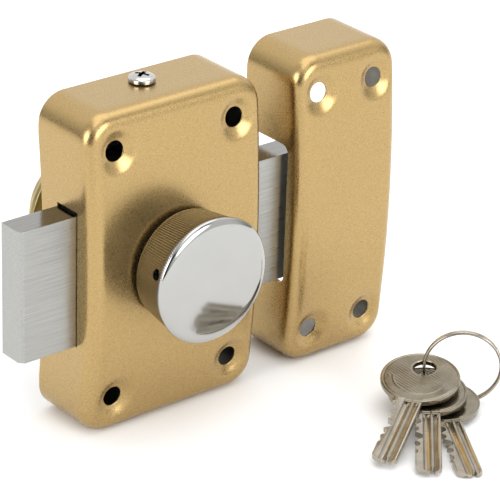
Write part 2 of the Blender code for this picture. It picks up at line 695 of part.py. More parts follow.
def set_screw(body):
    """The screw that holds the knob on its spindle, and the hole that it sits in."""
    middle = Vector((0, FRONT_Y - SET_SCREW_DEPTH, AXIS_Z))
    direction = Vector((math.cos(SET_SCREW_ANGLE), 0, math.sin(SET_SCREW_ANGLE)))
    past = middle + direction * (KNOB_RADIUS + 4 * MM)
    boolean(body, rod("set_screw_hole", SET_SCREW_RADIUS + GAP, middle, past, sides=16))
    start = middle + direction * (SPINDLE_RADIUS + GAP)
    end = middle + direction * SET_SCREW_END
    screw = rod("knob_set_screw", SET_SCREW_RADIUS, start, end, STEEL, sides=16)
    boolean(screw, rod("hex_recess", 0.8 * MM, end - direction * 2.5 * MM, end + direction * MM,
                       sides=6))
    return screw


# ---------------------------------------------------------------- cylinder

def pin_places():
    return [PIN_FIRST_Y + i * PIN_PITCH for i in range(PIN_COUNT)]


def cylinder_body():
    inner = CYLINDER_INNER
    outer = CYLINDER_OUTER
    bore = PLUG_RADIUS + GAP
    counterbore = PLUG_FLANGE_RADIUS + GAP
    seat = outer - 2 * MM
    head = outer - CYLINDER_HEAD
    recess = 8.6 * MM
    floor = inner + 2.8 * MM
    profile = [(counterbore, outer), (CYLINDER_HEAD_RADIUS - MM, outer),
               (CYLINDER_HEAD_RADIUS - 0.3 * MM, outer - 0.3 * MM),
               (CYLINDER_HEAD_RADIUS, outer - MM), (CYLINDER_HEAD_RADIUS, head),
               (CYLINDER_RADIUS, head), (CYLINDER_RADIUS, inner), (recess, inner),
               (recess, floor), (bore, floor), (bore, seat), (counterbore, seat)]
    place = Matrix.Translation((0, 0, AXIS_Z)) @ ALONG_Y
    body = smooth(turned("cylinder_body", profile, BRASS, place, sides=32, closed=True))
    for i, y in enumerate(pin_places()):
        boolean(body, rod(f"chamber_{i}", PIN_RADIUS + GAP, (0, y, AXIS_Z + 4 * MM),
                          (0, y, AXIS_Z + 13 * MM), sides=8))
    for sx in (-1, 1):
        x = sx * CYLINDER_SCREW_X
        boolean(body, rod(f"screw_bore_{sx}", CYLINDER_SCREW_RADIUS + GAP, (x, inner - MM, AXIS_Z),
                          (x, inner + 14 * MM, AXIS_Z), sides=12))
    return body


def cylinder_rose():
    """A dished ring round the cylinder, against the outside of the door."""
    rear = DOOR_Y + ROSE_STANDOFF
    top = rear + ROSE_HEIGHT
    inner = CYLINDER_RADIUS + GAP
    edge = ROSE_RADIUS
    profile = [(inner, top), (17.4 * MM, top), (edge - 2.9 * MM, top - 0.6 * MM),
               (edge - MM, rear + 3.4 * MM), (edge, rear + 1.6 * MM), (edge, rear),
               (edge - 1.6 * MM, rear), (edge - 2.2 * MM, rear + 1.8 * MM),
               (edge - 3.8 * MM, rear + 3.2 * MM), (17 * MM, rear + 3.9 * MM),
               (inner, rear + 3.9 * MM)]
    place = Matrix.Translation((0, 0, AXIS_Z)) @ ALONG_Y
    return smooth(turned("cylinder_rose", profile, BRASS, place, sides=32, closed=True))


def plug():
    inner = CYLINDER_INNER + 0.5 * MM
    outer = CYLINDER_OUTER + 0.2 * MM
    seat = outer - 1.9 * MM
    groove = inner + 0.9 * MM
    groove_end = groove + 1.6 * MM
    profile = [(0, outer), (PLUG_FLANGE_RADIUS, outer), (PLUG_FLANGE_RADIUS, seat),
               (PLUG_RADIUS, seat), (PLUG_RADIUS, groove_end), (PLUG_GROOVE_RADIUS, groove_end),
               (PLUG_GROOVE_RADIUS, groove), (PLUG_RADIUS, groove), (PLUG_RADIUS, inner),
               (0, inner)]
    place = Matrix.Translation((0, 0, AXIS_Z)) @ ALONG_Y
    core = smooth(turned("plug", profile, BRASS, place, sides=32))
    boolean(core, box("keyway", (-KEYWAY_HALF, inner + 4.5 * MM, AXIS_Z - 5 * MM),
                      (KEYWAY_HALF, outer + MM, AXIS_Z + 3.2 * MM)))
    for i, y in enumerate(pin_places()):
        boolean(core, rod(f"plug_hole_{i}", PIN_RADIUS + GAP, (0, y, AXIS_Z + MM),
                          (0, y, AXIS_Z + 8 * MM), sides=8))
    half_x = TAIL_HALF_WIDTH + GAP
    half_z = TAIL_HALF_THICKNESS + GAP
    boolean(core, box("tail_slot", (-half_x, inner - MM, AXIS_Z - half_z),
                      (half_x, inner + 3.2 * MM, AXIS_Z + half_z)))
    return core


def tailpiece():
    """The flat bar from the plug into the hub's cup."""
    return box("tailpiece",
               (-TAIL_HALF_WIDTH, CUP_FLOOR + 0.6 * MM, AXIS_Z - TAIL_HALF_THICKNESS),
               (TAIL_HALF_WIDTH, CYLINDER_INNER + 3.3 * MM, AXIS_Z + TAIL_HALF_THICKNESS), STEEL)


def pins():
    """Key pins up to the shear line, driver pins above it, and their springs."""
    lengths = (3.4, 2.6, 3.9, 3.0, 2.3)
    top = AXIS_Z + PLUG_RADIUS - 0.15 * MM
    low = AXIS_Z + PLUG_RADIUS + 0.45 * MM
    driver = DRIVER_LENGTH
    for number, (y, length) in enumerate(zip(pin_places(), lengths), 1):
        rod(f"key_pin_{number}", PIN_RADIUS, (0, y, top - length * MM), (0, y, top), BRASS, 8)
        rod(f"driver_pin_{number}", PIN_RADIUS, (0, y, low), (0, y, low + driver), BRASS, 8)
        pin_spring(f"pin_spring_{number}", y, low + driver + 0.4 * MM, AXIS_Z + 12.6 * MM)


def pin_spring(name, y, low, high):
    turns = 2.5
    per_turn = 6
    wire = 0.16 * MM
    radius = PIN_RADIUS - wire - 0.05 * MM
    count = int(turns * per_turn) + 1
    curve = bpy.data.curves.new(name, "CURVE")
    curve.dimensions = "3D"
    curve.bevel_depth = wire
    curve.bevel_resolution = 0
    curve.use_fill_caps = True
    spline = curve.splines.new("POLY")
    spline.points.add(count - 1)
    for i, point in enumerate(spline.points):
        angle = 2 * math.pi * i / per_turn
        z = low + wire + (high - low - 2 * wire) * i / (count - 1)
        point.co = (radius * math.cos(angle), y + radius * math.sin(angle), z, 1)
    return to_mesh(new_object(name, curve, SPRING_STEEL))


def cylinder_screws():
    radius = CYLINDER_SCREW_RADIUS
    length = 15 * MM
    profile = [(0, 2 * MM), (1.6 * MM, 1.9 * MM), (2.7 * MM, MM), (2.9 * MM, 0), (radius, 0),
               (radius, -length), (0, -length)]
    back = Matrix.Rotation(math.pi / 2, 4, "X")
    for number, x in enumerate((-CYLINDER_SCREW_X, CYLINDER_SCREW_X), 1):
        name = f"cylinder_screw_{number}"
        spot = (x, PLATE_FRONT - GAP, AXIS_Z)
        screw = turned(name, profile, STEEL, Matrix.Translation(spot) @ back, 16)
        slot = box(f"{name}_slot", (x - 4 * MM, PLATE_FRONT - 3.5 * MM, AXIS_Z - 0.4 * MM),
                   (x + 4 * MM, PLATE_FRONT - 1.3 * MM, AXIS_Z + 0.4 * MM))
        boolean(screw, slot)


# ---------------------------------------------------------------- keys

def key_outline():
    """Bow, shoulder and cut blade, from the ring hole, with the tip along +X."""
    half = KEY_BLADE / 2
    neck = KEY_NECK_HALF
    start = math.asin(neck / KEY_BOW_RADIUS)
    steps = 28
    points = []
    for i in range(steps + 1):
        angle = start + (2 * math.pi - 2 * start) * i / steps
        points.append((KEY_BOW_OFFSET + KEY_BOW_RADIUS * math.cos(angle),
                       KEY_BOW_RADIUS * math.sin(angle)))
    shoulder = KEY_BOW_OFFSET + KEY_BOW_RADIUS + 0.6 * MM
    points += [(shoulder, -neck), (shoulder, -half)]
    flat = 1.5 * MM
    first = shoulder + 4.2 * MM
    for i, depth in enumerate(KEY_CUTS):
        x = first + i * PIN_PITCH
        ramp = depth * 0.7
        points += [(x - flat / 2 - ramp, -half), (x - flat / 2, -half + depth),
                   (x + flat / 2, -half + depth), (x + flat / 2 + ramp, -half)]
    points += [(KEY_REACH - 1.6 * MM, -half), (KEY_REACH, -half + 2.2 * MM),
               (KEY_REACH, half - 1.8 * MM), (KEY_REACH - 1.4 * MM, half), (shoulder, half),
               (shoulder, neck)]
    return points


def ring_point(along):
    return RING_CENTRE + Vector((math.cos(RING_TURN), math.sin(RING_TURN), 0)) * along


def key(name, along, slack, height, tip_height, heading):
    """A key that leans on its tip, with its bow held up by the ring and the keys below."""
    spot = ring_point(along) + Vector((math.cos(heading), math.sin(heading), 0)) * slack
    spot.z = height
    lean = math.asin((height - tip_height) / KEY_REACH)
    place = (Matrix.Translation(spot) @ Matrix.Rotation(heading, 4, "Z")
             @ Matrix.Rotation(lean, 4, "Y") @ Matrix.Translation((0, 0, KEY_THICKNESS / 2)))
    outlines = [key_outline(), circle(0, 0, KEY_HOLE_RADIUS, 20)]
    return extruded(name, outlines, KEY_THICKNESS, NICKEL, place)


def key_ring():
    """A ring of flat wire, standing on its edge."""
    inner = RING_RADIUS - RING_WIRE
    outer = RING_RADIUS + RING_WIRE
    profile = [(inner, RING_HALF_WIDTH), (outer, RING_HALF_WIDTH), (outer, -RING_HALF_WIDTH),
               (inner, -RING_HALF_WIDTH)]
    place = Matrix.Translation(RING_CENTRE) @ Matrix.Rotation(RING_TURN, 4, "Z") @ FACING_Y
    return smooth(turned("key_ring", profile, NICKEL, place, sides=48, closed=True))


# ---------------------------------------------------------------- assembly

clear_scene()
PARTS = collection("rim_deadlock")
CUTTERS = collection("cutters")
GOLD = material("gold_paint", (0.60, 0.44, 0.23), 0.38, 0.85)
STEEL = material("zinc_steel", (0.62, 0.63, 0.64), 0.4)
BRUSHED = material("brushed_steel", (0.68, 0.68, 0.66), 0.32)
CHROME = material("chrome", (0.86, 0.86, 0.85), 0.08)
BRASS = material("brass", (0.62, 0.50, 0.26), 0.3)
NICKEL = material("nickel", (0.66, 0.64, 0.58), 0.22)
SPRING_STEEL = material("spring_steel", (0.45, 0.45, 0.47), 0.35)

case_cover()
base_plate()
cover_screw()
keeper()
bolt()
guide_rail("guide_rail_upper", 1)
guide_rail("guide_rail_lower", -1)
rail_rivets()
spring_rivet()
detent_spring()
pinion()
spindle()
cross_pin()
front_bush()
clip("spindle_circlip", SPINDLE_RADIUS + GAP, CIRCLIP_RADIUS, math.radians(50), CIRCLIP_Y,
     0.8 * MM)
rear_bush()
set_screw(knob_body())
knob_cap()
cylinder_body()
cylinder_rose()
plug()
clip("plug_clip", PLUG_GROOVE_RADIUS + GAP, 8 * MM, math.radians(70), CYLINDER_INNER + 2.2 * MM,
     0.9 * MM)
tailpiece()
pins()
cylinder_screws()
for key_place in KEY_PLACES:
    key(*key_place)
key_ring()
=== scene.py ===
import json
import math

import bmesh
import bpy
import numpy as np
from mathutils import Matrix, Vector

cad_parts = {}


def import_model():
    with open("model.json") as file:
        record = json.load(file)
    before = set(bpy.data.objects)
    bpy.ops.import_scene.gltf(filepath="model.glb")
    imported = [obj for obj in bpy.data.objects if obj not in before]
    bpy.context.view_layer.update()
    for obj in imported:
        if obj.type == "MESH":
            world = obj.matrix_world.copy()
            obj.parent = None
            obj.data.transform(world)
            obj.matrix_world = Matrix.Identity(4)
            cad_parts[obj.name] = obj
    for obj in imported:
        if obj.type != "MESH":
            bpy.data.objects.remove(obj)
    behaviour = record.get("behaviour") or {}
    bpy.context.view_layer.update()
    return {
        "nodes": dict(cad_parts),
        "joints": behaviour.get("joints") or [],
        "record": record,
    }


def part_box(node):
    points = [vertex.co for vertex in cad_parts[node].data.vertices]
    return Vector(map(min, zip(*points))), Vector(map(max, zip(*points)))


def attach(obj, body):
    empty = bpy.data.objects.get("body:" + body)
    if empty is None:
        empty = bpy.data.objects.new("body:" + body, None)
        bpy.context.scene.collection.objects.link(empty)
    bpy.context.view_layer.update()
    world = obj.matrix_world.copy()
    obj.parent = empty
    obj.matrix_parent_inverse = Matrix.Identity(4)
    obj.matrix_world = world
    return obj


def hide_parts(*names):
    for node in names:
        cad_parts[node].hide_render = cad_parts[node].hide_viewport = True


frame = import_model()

MM = 0.001
SAME_PLACE = 0.002 * MM     # points closer than this are one point

# Sizes that the CAD model uses too, in millimetres
DEPTH = 25.5                # of the case and the keeper
SHEET = 1.3
CORNER = 9.0
CROWN = 2.0                 # how far the front bulges at mid height
RELIEF = 2.2                # how far the rear edge of the side walls is cut back at mid height
FIXING_X = 22.5
FIXING_Z = 41.0
KEEPER_FIXING_X = 11.3
HOLE = 3.2                  # radius of the fixing holes
BUSH = 6.0                  # radius of the spindle's bush
KNOB_BASE = 18.0            # radius at the knob's foot
KNOB_TOP = 20.3             # radius at the knob's face
SET_SCREW_ANGLE = 163       # degrees round the knob
CYLINDER = 14.5             # radius
RING_TURN = math.radians(-41)

# Finer detail, which only the visual model has
EDGE = 5.0                  # width and depth of the rounded front edge
EDGE_POWER = 2.4            # 2 makes that edge a quarter circle, and more makes it squarer
DIMPLE_RADIUS = 7.7
DIMPLE_DEPTH = 1.6
HOLE_LIP = 0.25
KNURL_TEETH = 150
KNURL_DEPTH = 0.22
KEY_HALF = 1.0              # half the blade's thickness
FACING_X = Matrix(((0, 0, 1, 0), (1, 0, 0, 0), (0, 1, 0, 0), (0, 0, 0, 1)))


# ---------------------------------------------------------------- boxes of the CAD

def cad(node):
    """A CAD node's box in millimetres."""
    low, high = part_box(node)
    return np.array(low) / MM, np.array(high) / MM


CASE_HIGH = cad("case_cover")[1]
KEEPER_LOW, KEEPER_HIGH = cad("keeper")
BOLT_LOW, BOLT_HIGH = cad("bolt")
CAP_LOW, CAP_HIGH = cad("knob_cap")
BODY_LOW, BODY_HIGH = cad("knob_body")
SCREW_LOW, SCREW_HIGH = cad("cover_screw")
ROSE_LOW, ROSE_HIGH = cad("cylinder_rose")
CYL_LOW, CYL_HIGH = cad("cylinder_body")
PLUG_LOW, PLUG_HIGH = cad("plug")
RING_LOW, RING_HIGH = cad("key_ring")
DOOR = float(CASE_HIGH[1])
FRONT = DOOR - DEPTH
HEIGHT = float(CASE_HIGH[2])
AXIS = HEIGHT / 2
JOINTS = {joint["name"]: joint for joint in frame["joints"]}


# ---------------------------------------------------------------- mesh helpers

def new_object(name, mesh):
    obj = bpy.data.objects.new(name, mesh)
    bpy.context.scene.collection.objects.link(obj)
    return obj


def from_points(name, points, faces):
    """An object from points in millimetres."""
    mesh = bpy.data.meshes.new(name)
    mesh.from_pydata([Vector(p) * MM for p in points], [], faces)
    mesh.validate()
    return new_object(name, mesh)


def plain(obj):
    """The object with its modifiers applied."""
    bpy.context.view_layer.update()
    graph = bpy.context.evaluated_depsgraph_get()
    mesh = bpy.data.meshes.new_from_object(obj.evaluated_get(graph))
    old = obj.data
    obj.modifiers.clear()
    obj.data = mesh
    bpy.data.meshes.remove(old)
    return obj


def outward(obj):
    """Joins points that lie together and turns every face outward."""
    bm = bmesh.new()
    bm.from_mesh(obj.data)
    bmesh.ops.remove_doubles(bm, verts=bm.verts, dist=0.0000005)
    bmesh.ops.recalc_face_normals(bm, faces=bm.faces)
    bm.to_mesh(obj.data)
    bm.free()
    return obj


def drop(obj):
    bpy.data.objects.remove(obj, do_unlink=True)


def combine(obj, tools, operation="DIFFERENCE"):
    """Cuts the tools out of the object, or adds them to it, and removes them."""
    for tool in tools:
        change = obj.modifiers.new("change", "BOOLEAN")
        change.operation = operation
        change.solver = "MANIFOLD"
        change.object = tool
    plain(obj)
    for tool in tools:
        drop(tool)
    return obj


def shade(obj, angle):
    """Smooth shading, with a crease where faces meet at more than the angle in degrees."""
    obj.data.shade_smooth()
    obj.data.set_sharp_from_angle(angle=math.radians(angle))
    return obj


def ease(obj, width, segments=2, angle=35):
    """Rounds the sharp edges by a width in millimetres."""
    bevel = obj.modifiers.new("ease", "BEVEL")
    bevel.width = width * MM
    bevel.segments = segments
    bevel.limit_method = "ANGLE"
    bevel.angle_limit = math.radians(angle)
    plain(obj)
    return shade(obj, 30)


def block(low, high):
    """A box between two corners, used as a cutting tool."""
    (x0, y0, z0), (x1, y1, z1) = low, high
    points = [(x, y, z) for x in (x0, x1) for y in (y0, y1) for z in (z0, z1)]
    faces = [(0, 1, 3, 2), (4, 6, 7, 5), (0, 4, 5, 1), (2, 3, 7, 6), (0, 2, 6, 4), (1, 5, 7, 3)]
    return from_points("block", points, faces)


def prism(outline, low, high, place):
    """A closed outline made thick from low to high along local Z."""
    count = len(outline)
    points = [place @ Vector((x, y, z)) for z in (low, high) for x, y in outline]
    faces = [tuple(reversed(range(count))), tuple(range(count, 2 * count))]
    faces += [(i, (i + 1) % count, count + (i + 1) % count, count + i) for i in range(count)]
    return from_points("prism", points, faces)


def frame_along(direction):
    """Turns local Z to a direction."""
    return Vector((0, 0, 1)).rotation_difference(Vector(direction)).to_matrix().to_4x4()


def rod(radius, start, end, sides=48):
    """A round bar between two points, used as a cutting tool."""
    start = Vector(start)
    along = Vector(end) - start
    circle = [(radius * math.cos(2 * math.pi * i / sides), radius * math.sin(2 * math.pi * i / sides))
              for i in range(sides)]
    place = Matrix.Translation(start) @ frame_along(along)
    return prism(circle, 0, along.length, place)


def filleted(profile, radius, closed=False, steps=3):
    """The profile with each corner rounded. Lengths are in millimetres."""
    count = len(profile)
    out = []
    for i, corner in enumerate(profile):
        if not closed and i in (0, count - 1):
            out.append(corner)
            continue
        here = Vector(corner)
        before = Vector(profile[i - 1]) - here
        after = Vector(profile[(i + 1) % count]) - here
        if before.length < 1e-6 or after.length < 1e-6 or before.angle(after) > math.radians(165):
            out.append(corner)
            continue
        reach = min(radius, before.length * 0.4, after.length * 0.4)
        a = here + before.normalized() * reach
        b = here + after.normalized() * reach
        for k in range(steps + 1):
            t = k / steps
            out.append(tuple(a * (1 - t) ** 2 + here * 2 * t * (1 - t) + b * t ** 2))
    return out


def turned(name, profile, place, sides=96, closed=False, wave=None):
    """A profile of (radius, height) points turned about local Z. The wave changes the radius."""
    angles = [2 * math.pi * i / sides for i in range(sides)]
    points = []
    rows = []
    for number, (radius, height) in enumerate(profile):
        if radius < 1e-6:
            rows.append([len(points)] * sides)
            points.append(place @ Vector((0, 0, height)))
            continue
        rows.append([len(points) + i for i in range(sides)])
        for angle in angles:
            r = radius - (wave(number, angle) if wave else 0)
            points.append(place @ Vector((r * math.cos(angle), r * math.sin(angle), height)))
    pairs = list(zip(rows, rows[1:]))
    if closed:
        pairs.append((rows[-1], rows[0]))
    faces = []
    for a, b in pairs:
        for i in range(sides):
            j = (i + 1) % sides
            face = list(dict.fromkeys((a[i], a[j], b[j], b[i])))
            if len(face) > 2:
                faces.append(face)
    return outward(from_points(name, points, faces))


def along_y(x, z):
    """Places a turned profile about a line along Y, so that its heights are world Y."""
    return Matrix.Translation((x, 0, z)) @ Matrix.Rotation(-math.pi / 2, 4, "X")


def finish_piece(obj, name, body, slot, finish, *nodes):
    """Names a finished piece, gives it its material, if it has none yet, and hangs it on its body."""
    obj.name = name
    obj.data.name = name
    if finish:
        obj.data.materials.clear()
        obj.data.materials.append(finish)
        for polygon in obj.data.polygons:
            polygon.material_index = 0
    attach(obj, body)
    if nodes:
        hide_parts(*nodes)
    return obj


# ---------------------------------------------------------------- materials

class Material:
    """A procedural material made of a few layers of noise, in object coordinates."""

    def __init__(self, name, **values):
        self.made = bpy.data.materials.new(name)
        self.made.use_nodes = True
        self.tree = self.made.node_tree
        self.shader = self.tree.nodes["Principled BSDF"]
        self.where = self.tree.nodes.new("ShaderNodeTexCoord").outputs["Object"]
        self.normal = None
        for key, value in values.items():
            self.shader.inputs[key.replace("_", " ")].default_value = value

    def node(self, kind, **inputs):
        """A shader node with each input set to a value or linked to an output."""
        made = self.tree.nodes.new("ShaderNode" + kind)
        for key, value in inputs.items():
            socket = made.inputs[key.replace("_", " ")]
            if isinstance(value, bpy.types.NodeSocket):
                self.tree.links.new(value, socket)
            else:
                socket.default_value = value
        return made

    def stretched(self, scale, turn=(0, 0, 0)):
        """Object coordinates scaled by axis, so that noise turns into streaks."""
        made = self.node("Mapping", Vector=self.where, Scale=scale, Rotation=turn)
        return made.outputs["Vector"]

    def noise(self, scale, detail=3.0, where=None, roughness=0.55):
        made = self.node("TexNoise", Vector=where or self.where, Scale=scale, Detail=detail,
                         Roughness=roughness)
        return made.outputs["Fac"]

    def cells(self, scale):
        """A random colour for each small cell."""
        made = self.node("TexVoronoi", Vector=self.where, Scale=scale)
        return made.outputs["Color"]

    def grey(self, colour):
        """The red part of a colour, as a number."""
        made = self.node("SeparateColor", Color=colour)
        return made.outputs[0]

    def levels(self, value, low, high, out_low=0.0, out_high=1.0):
        """Moves a value from one range to another."""
        made = self.node("MapRange", Value=value)
        for key, number in zip(("From Min", "From Max", "To Min", "To Max"),
                               (low, high, out_low, out_high)):
            made.inputs[key].default_value = number
        return made.outputs["Result"]

    def calculate(self, operation, a, b):
        made = self.tree.nodes.new("ShaderNodeMath")
        made.operation = operation
        for socket, value in zip(made.inputs, (a, b)):
            if isinstance(value, bpy.types.NodeSocket):
                self.tree.links.new(value, socket)
            else:
                socket.default_value = value
        return made.outputs[0]

    def mix(self, factor, a, b):
        """Colour a, turning into b as the factor goes from 0 to 1."""
        made = self.tree.nodes.new("ShaderNodeMix")
        made.data_type = "RGBA"
        for socket, value in ((made.inputs[0], factor), (made.inputs[6], a), (made.inputs[7], b)):
            if isinstance(value, bpy.types.NodeSocket):
                self.tree.links.new(value, socket)
            else:
                socket.default_value = value if socket == made.inputs[0] else (*value, 1)
        return made.outputs[2]

    def colour(self, value):
        self.tree.links.new(value, self.shader.inputs["Base Color"])

    def rough(self, value):
        self.tree.links.new(value, self.shader.inputs["Roughness"])

    def bump(self, height, strength, distance):
        """Adds a layer of relief. The distance is in millimetres."""
        made = self.node("Bump", Strength=strength, Distance=distance * MM, Height=height)
        if self.normal:
            self.tree.links.new(self.normal, made.inputs["Normal"])
        self.normal = made.outputs["Normal"]
        self.tree.links.new(self.normal, self.shader.inputs["Normal"])


def gold_paint():
    """Metallic paint with fine flakes."""
    m = Material("gold_paint", Metallic=0.96, Coat_Weight=0.12, Coat_Roughness=0.15)
    flakes = m.grey(m.cells(3600))
    grain = m.noise(2300, 2)
    drift = m.noise(28, 2)
    tint = m.mix(m.levels(flakes, 0.05, 0.95), (0.390, 0.264, 0.104), (0.455, 0.317, 0.135))
    tint = m.mix(m.levels(grain, 0.35, 0.7, 0, 0.30), tint, (0.52, 0.38, 0.18))
    m.colour(m.mix(m.levels(drift, 0.35, 0.65, 0, 0.18), tint, (0.39, 0.265, 0.105)))
    wear = m.calculate("ADD", m.noise(1500, 2), m.calculate("MULTIPLY", flakes, 0.4))
    m.rough(m.levels(wear, 0.3, 1.1, 0.23, 0.34))
    m.bump(m.noise(620, 2), 0.12, 0.05)
    m.bump(grain, 0.16, 0.03)
    m.bump(flakes, 0.07, 0.02)
    return m.made


def brushed_steel(name, dull, bright, smooth=0.24):
    """Steel with long streaks along X. The last value is its lowest roughness."""
    m = Material(name, Metallic=1.0)
    streaks = m.noise(1.0, 4, m.stretched((60, 2600, 2600)), 0.7)
    long = m.noise(1.0, 3, m.stretched((14, 700, 700)))
    patches = m.noise(70, 3)
    tint = m.mix(m.levels(streaks, 0.3, 0.7), bright, dull)
    m.colour(m.mix(m.levels(patches, 0.4, 0.7, 0, 0.3), tint, tuple(0.9 * t for t in bright)))
    m.rough(m.levels(m.calculate("ADD", streaks, long), 0.6, 1.4, smooth, smooth + 0.17))
    m.bump(streaks, 0.30, 0.02)
    m.bump(long, 0.16, 0.03)
    return m.made


def chrome(name, tone, rough):
    """Plated metal with a slight haze and hairline scratches."""
    m = Material(name, Metallic=1.0)
    haze = m.noise(90, 3)
    scratches = m.noise(1.0, 2, m.stretched((3500, 90, 160), (0, 0.6, 0.3)))
    m.colour(m.mix(m.levels(haze, 0.3, 0.7), tuple(0.96 * t for t in tone), tone))
    wear = m.calculate("ADD", haze, m.calculate("MULTIPLY", scratches, 0.6))
    m.rough(m.levels(wear, 0.5, 1.2, rough, rough + 0.05))
    m.bump(haze, 0.04, 0.02)
    m.bump(scratches, 0.03, 0.004)
    return m.made


def zinc():
    """Zinc-plated sheet with crystal grains and rolling marks."""
    m = Material("zinc_plated_steel", Metallic=1.0)
    grains = m.grey(m.cells(420))
    rolling = m.noise(1.0, 3, m.stretched((50, 900, 900)))
    cloud = m.noise(60, 3)
    tint = m.mix(m.levels(grains, 0, 1), (0.50, 0.51, 0.525), (0.62, 0.63, 0.64))
    m.colour(m.mix(m.levels(cloud, 0.35, 0.7, 0, 0.5), tint, (0.66, 0.65, 0.60)))
    dull = m.calculate("ADD", rolling, m.calculate("MULTIPLY", grains, 0.3))
    m.rough(m.levels(dull, 0.35, 0.95, 0.33, 0.52))
    m.bump(rolling, 0.22, 0.03)
    m.bump(m.noise(1800, 2), 0.12, 0.02)
    return m.made


def bare_steel_painted_shade():
    """The unpainted inside of the pressed covers, its colour darkened as painted shade inside the
    shells.
    """
    m = Material("bare_steel_painted_shade", Metallic=0.9)
    cloud = m.noise(90, 4)
    # Very dark grey: the steel's own tone, darkened by painted shade of the covers' hollow inside.
    m.colour(m.mix(m.levels(cloud, 0.35, 0.7), (0.15, 0.14, 0.12), (0.21, 0.20, 0.175)))
    m.rough(m.levels(m.noise(700, 3), 0.3, 0.7, 0.34, 0.52))
    m.bump(m.noise(1600, 2), 0.2, 0.02)
    return m.made


def brass(name, tone, rough):
    """Turned brass with tool rings across Y and patches of tarnish."""
    m = Material(name, Metallic=1.0)
    rings = m.noise(1.0, 3, m.stretched((110, 3200, 110)))
    tarnish = m.noise(85, 4)
    light = m.mix(m.levels(rings, 0.3, 0.7), tuple(0.88 * t for t in tone), tone)
    m.colour(m.mix(m.levels(tarnish, 0.45, 0.75, 0, 0.55), light,
                   tuple(0.62 * t for t in tone)))
    m.rough(m.levels(m.calculate("ADD", rings, tarnish), 0.6, 1.3, rough, rough + 0.16))
    m.bump(rings, 0.18, 0.02)
    m.bump(m.noise(1400, 2), 0.08, 0.02)
    return m.made


def nickel(name, dark, light, specks):
    """Worn nickel plate with scuffs and dark specks."""
    m = Material(name, Metallic=1.0)
    wear = m.noise(160, 4)
    scuffs = m.noise(1.0, 3, m.stretched((300, 2600, 2600), (0, 0, 0.7)))
    speck = m.noise(2600, 2)
    tint = m.mix(m.levels(wear, 0.3, 0.7), dark, light)
    m.colour(m.mix(m.levels(speck, 0.55, 0.75, 0, 0.4), tint, specks))
    dull = m.calculate("ADD", wear, m.calculate("MULTIPLY", scuffs, 0.8))
    m.rough(m.levels(dull, 0.6, 1.25, 0.14, 0.30))
    m.bump(scuffs, 0.16, 0.02)
    m.bump(speck, 0.14, 0.015)
    return m.made


def spring_steel():
    """Slightly blued steel."""
    m = Material("spring_steel", Metallic=1.0)
    streaks = m.noise(1.0, 3, m.stretched((120, 2400, 2400)))
    blueing = m.noise(240, 3)
    m.colour(m.mix(m.levels(blueing, 0.35, 0.7), (0.36, 0.37, 0.40), (0.50, 0.49, 0.48)))
    m.rough(m.levels(streaks, 0.3, 0.7, 0.26, 0.44))
    m.bump(streaks, 0.2, 0.02)
    return m.made


GOLD = gold_paint()
BRUSHED = brushed_steel("brushed_steel", (0.32, 0.32, 0.305), (0.425, 0.425, 0.405))
ROLLED = brushed_steel("rolled_steel", (0.24, 0.235, 0.225), (0.33, 0.325, 0.31), 0.09)
# Black oxide for the knob's set screw, and painted shade inside the cover screw's cross recess.
BLACK_OXIDE_AND_RECESS_SHADE = brushed_steel("black_steel_and_painted_shade", (0.02, 0.02, 0.02), (0.04, 0.04, 0.04))
CHROME = chrome("chrome_polished", (0.45, 0.448, 0.432), 0.045)
SATIN_CHROME = chrome("chrome_satin", (0.52, 0.515, 0.50), 0.10)
ZINC = zinc()
BRASS = brass("brass", (0.60, 0.475, 0.225), 0.22)
DULL_BRASS = brass("brass_dull", (0.36, 0.285, 0.125), 0.24)
NICKEL = nickel("nickel_plate", (0.31, 0.275, 0.22), (0.43, 0.39, 0.325), (0.25, 0.22, 0.175))
DULL_NICKEL = nickel("nickel_dull", (0.215, 0.185, 0.135), (0.30, 0.27, 0.215), (0.19, 0.165, 0.12))
SPRING = spring_steel()
# A darker copy of the chrome for the knob's knurled side: painted shade standing in for the darker
# reflections that the side picks up.
KNURL_CHROME_AND_SHADE = chrome("chrome_knurled_painted_shade", (0.30, 0.285, 0.265), 0.14)
BARE_STEEL_AND_SHADE = bare_steel_painted_shade()
FINISHES = {"gold_paint": GOLD, "zinc_steel": ZINC, "brushed_steel": BRUSHED, "chrome": CHROME,
            "brass": BRASS, "nickel": NICKEL, "spring_steel": SPRING}
SPECIAL_FINISHES = {"knob_set_screw": BLACK_OXIDE_AND_RECESS_SHADE}


# ---------------------------------------------------------------- case and keeper

# Grid lines: distances in from the outline, radii round a fixing hole, and radii round the bush
EDGE_INSETS = (6.0, 5.0, 4.2, 3.5, 2.8, 2.2, 1.65, 1.15, 0.75, 0.42, 0.2, 0.06, 0.0)
HOLE_RINGS = (HOLE, 3.27, 3.45, 3.8, 4.3, 4.9, 5.6, 6.3, 7.0, DIMPLE_RADIUS)
BUSH_LINES = (1.5, 3.0, 4.5, BUSH, 7.0, 8.0, 9.0)


def smoothstep(value):
    """0 below 0, 1 above 1, and a smooth rise between."""
    value = np.clip(value, 0, 1)
    return value * value * (3 - 2 * value)


def grid_lines(half, hole, bush):
    """Grid lines from edge to edge, close together round the holes and near the edge."""
    lines = [0.0]
    if bush:
        lines += list(BUSH_LINES)
    spacing = 1.3
    first = hole - HOLE_RINGS[-1]
    count = math.ceil((first - lines[-1]) / spacing)
    lines += list(np.linspace(lines[-1], first, count + 1)[1:])
    lines += [hole - r for r in reversed(HOLE_RINGS[:-1])]
    lines += list(np.linspace(hole - HOLE, hole + HOLE, 11)[1:])
    lines += [hole + r for r in HOLE_RINGS[1:]]
    lines += [half - inset for inset in EDGE_INSETS if half - inset > lines[-1] + 0.3]
    return np.array([-v for v in reversed(lines[1:])] + lines)


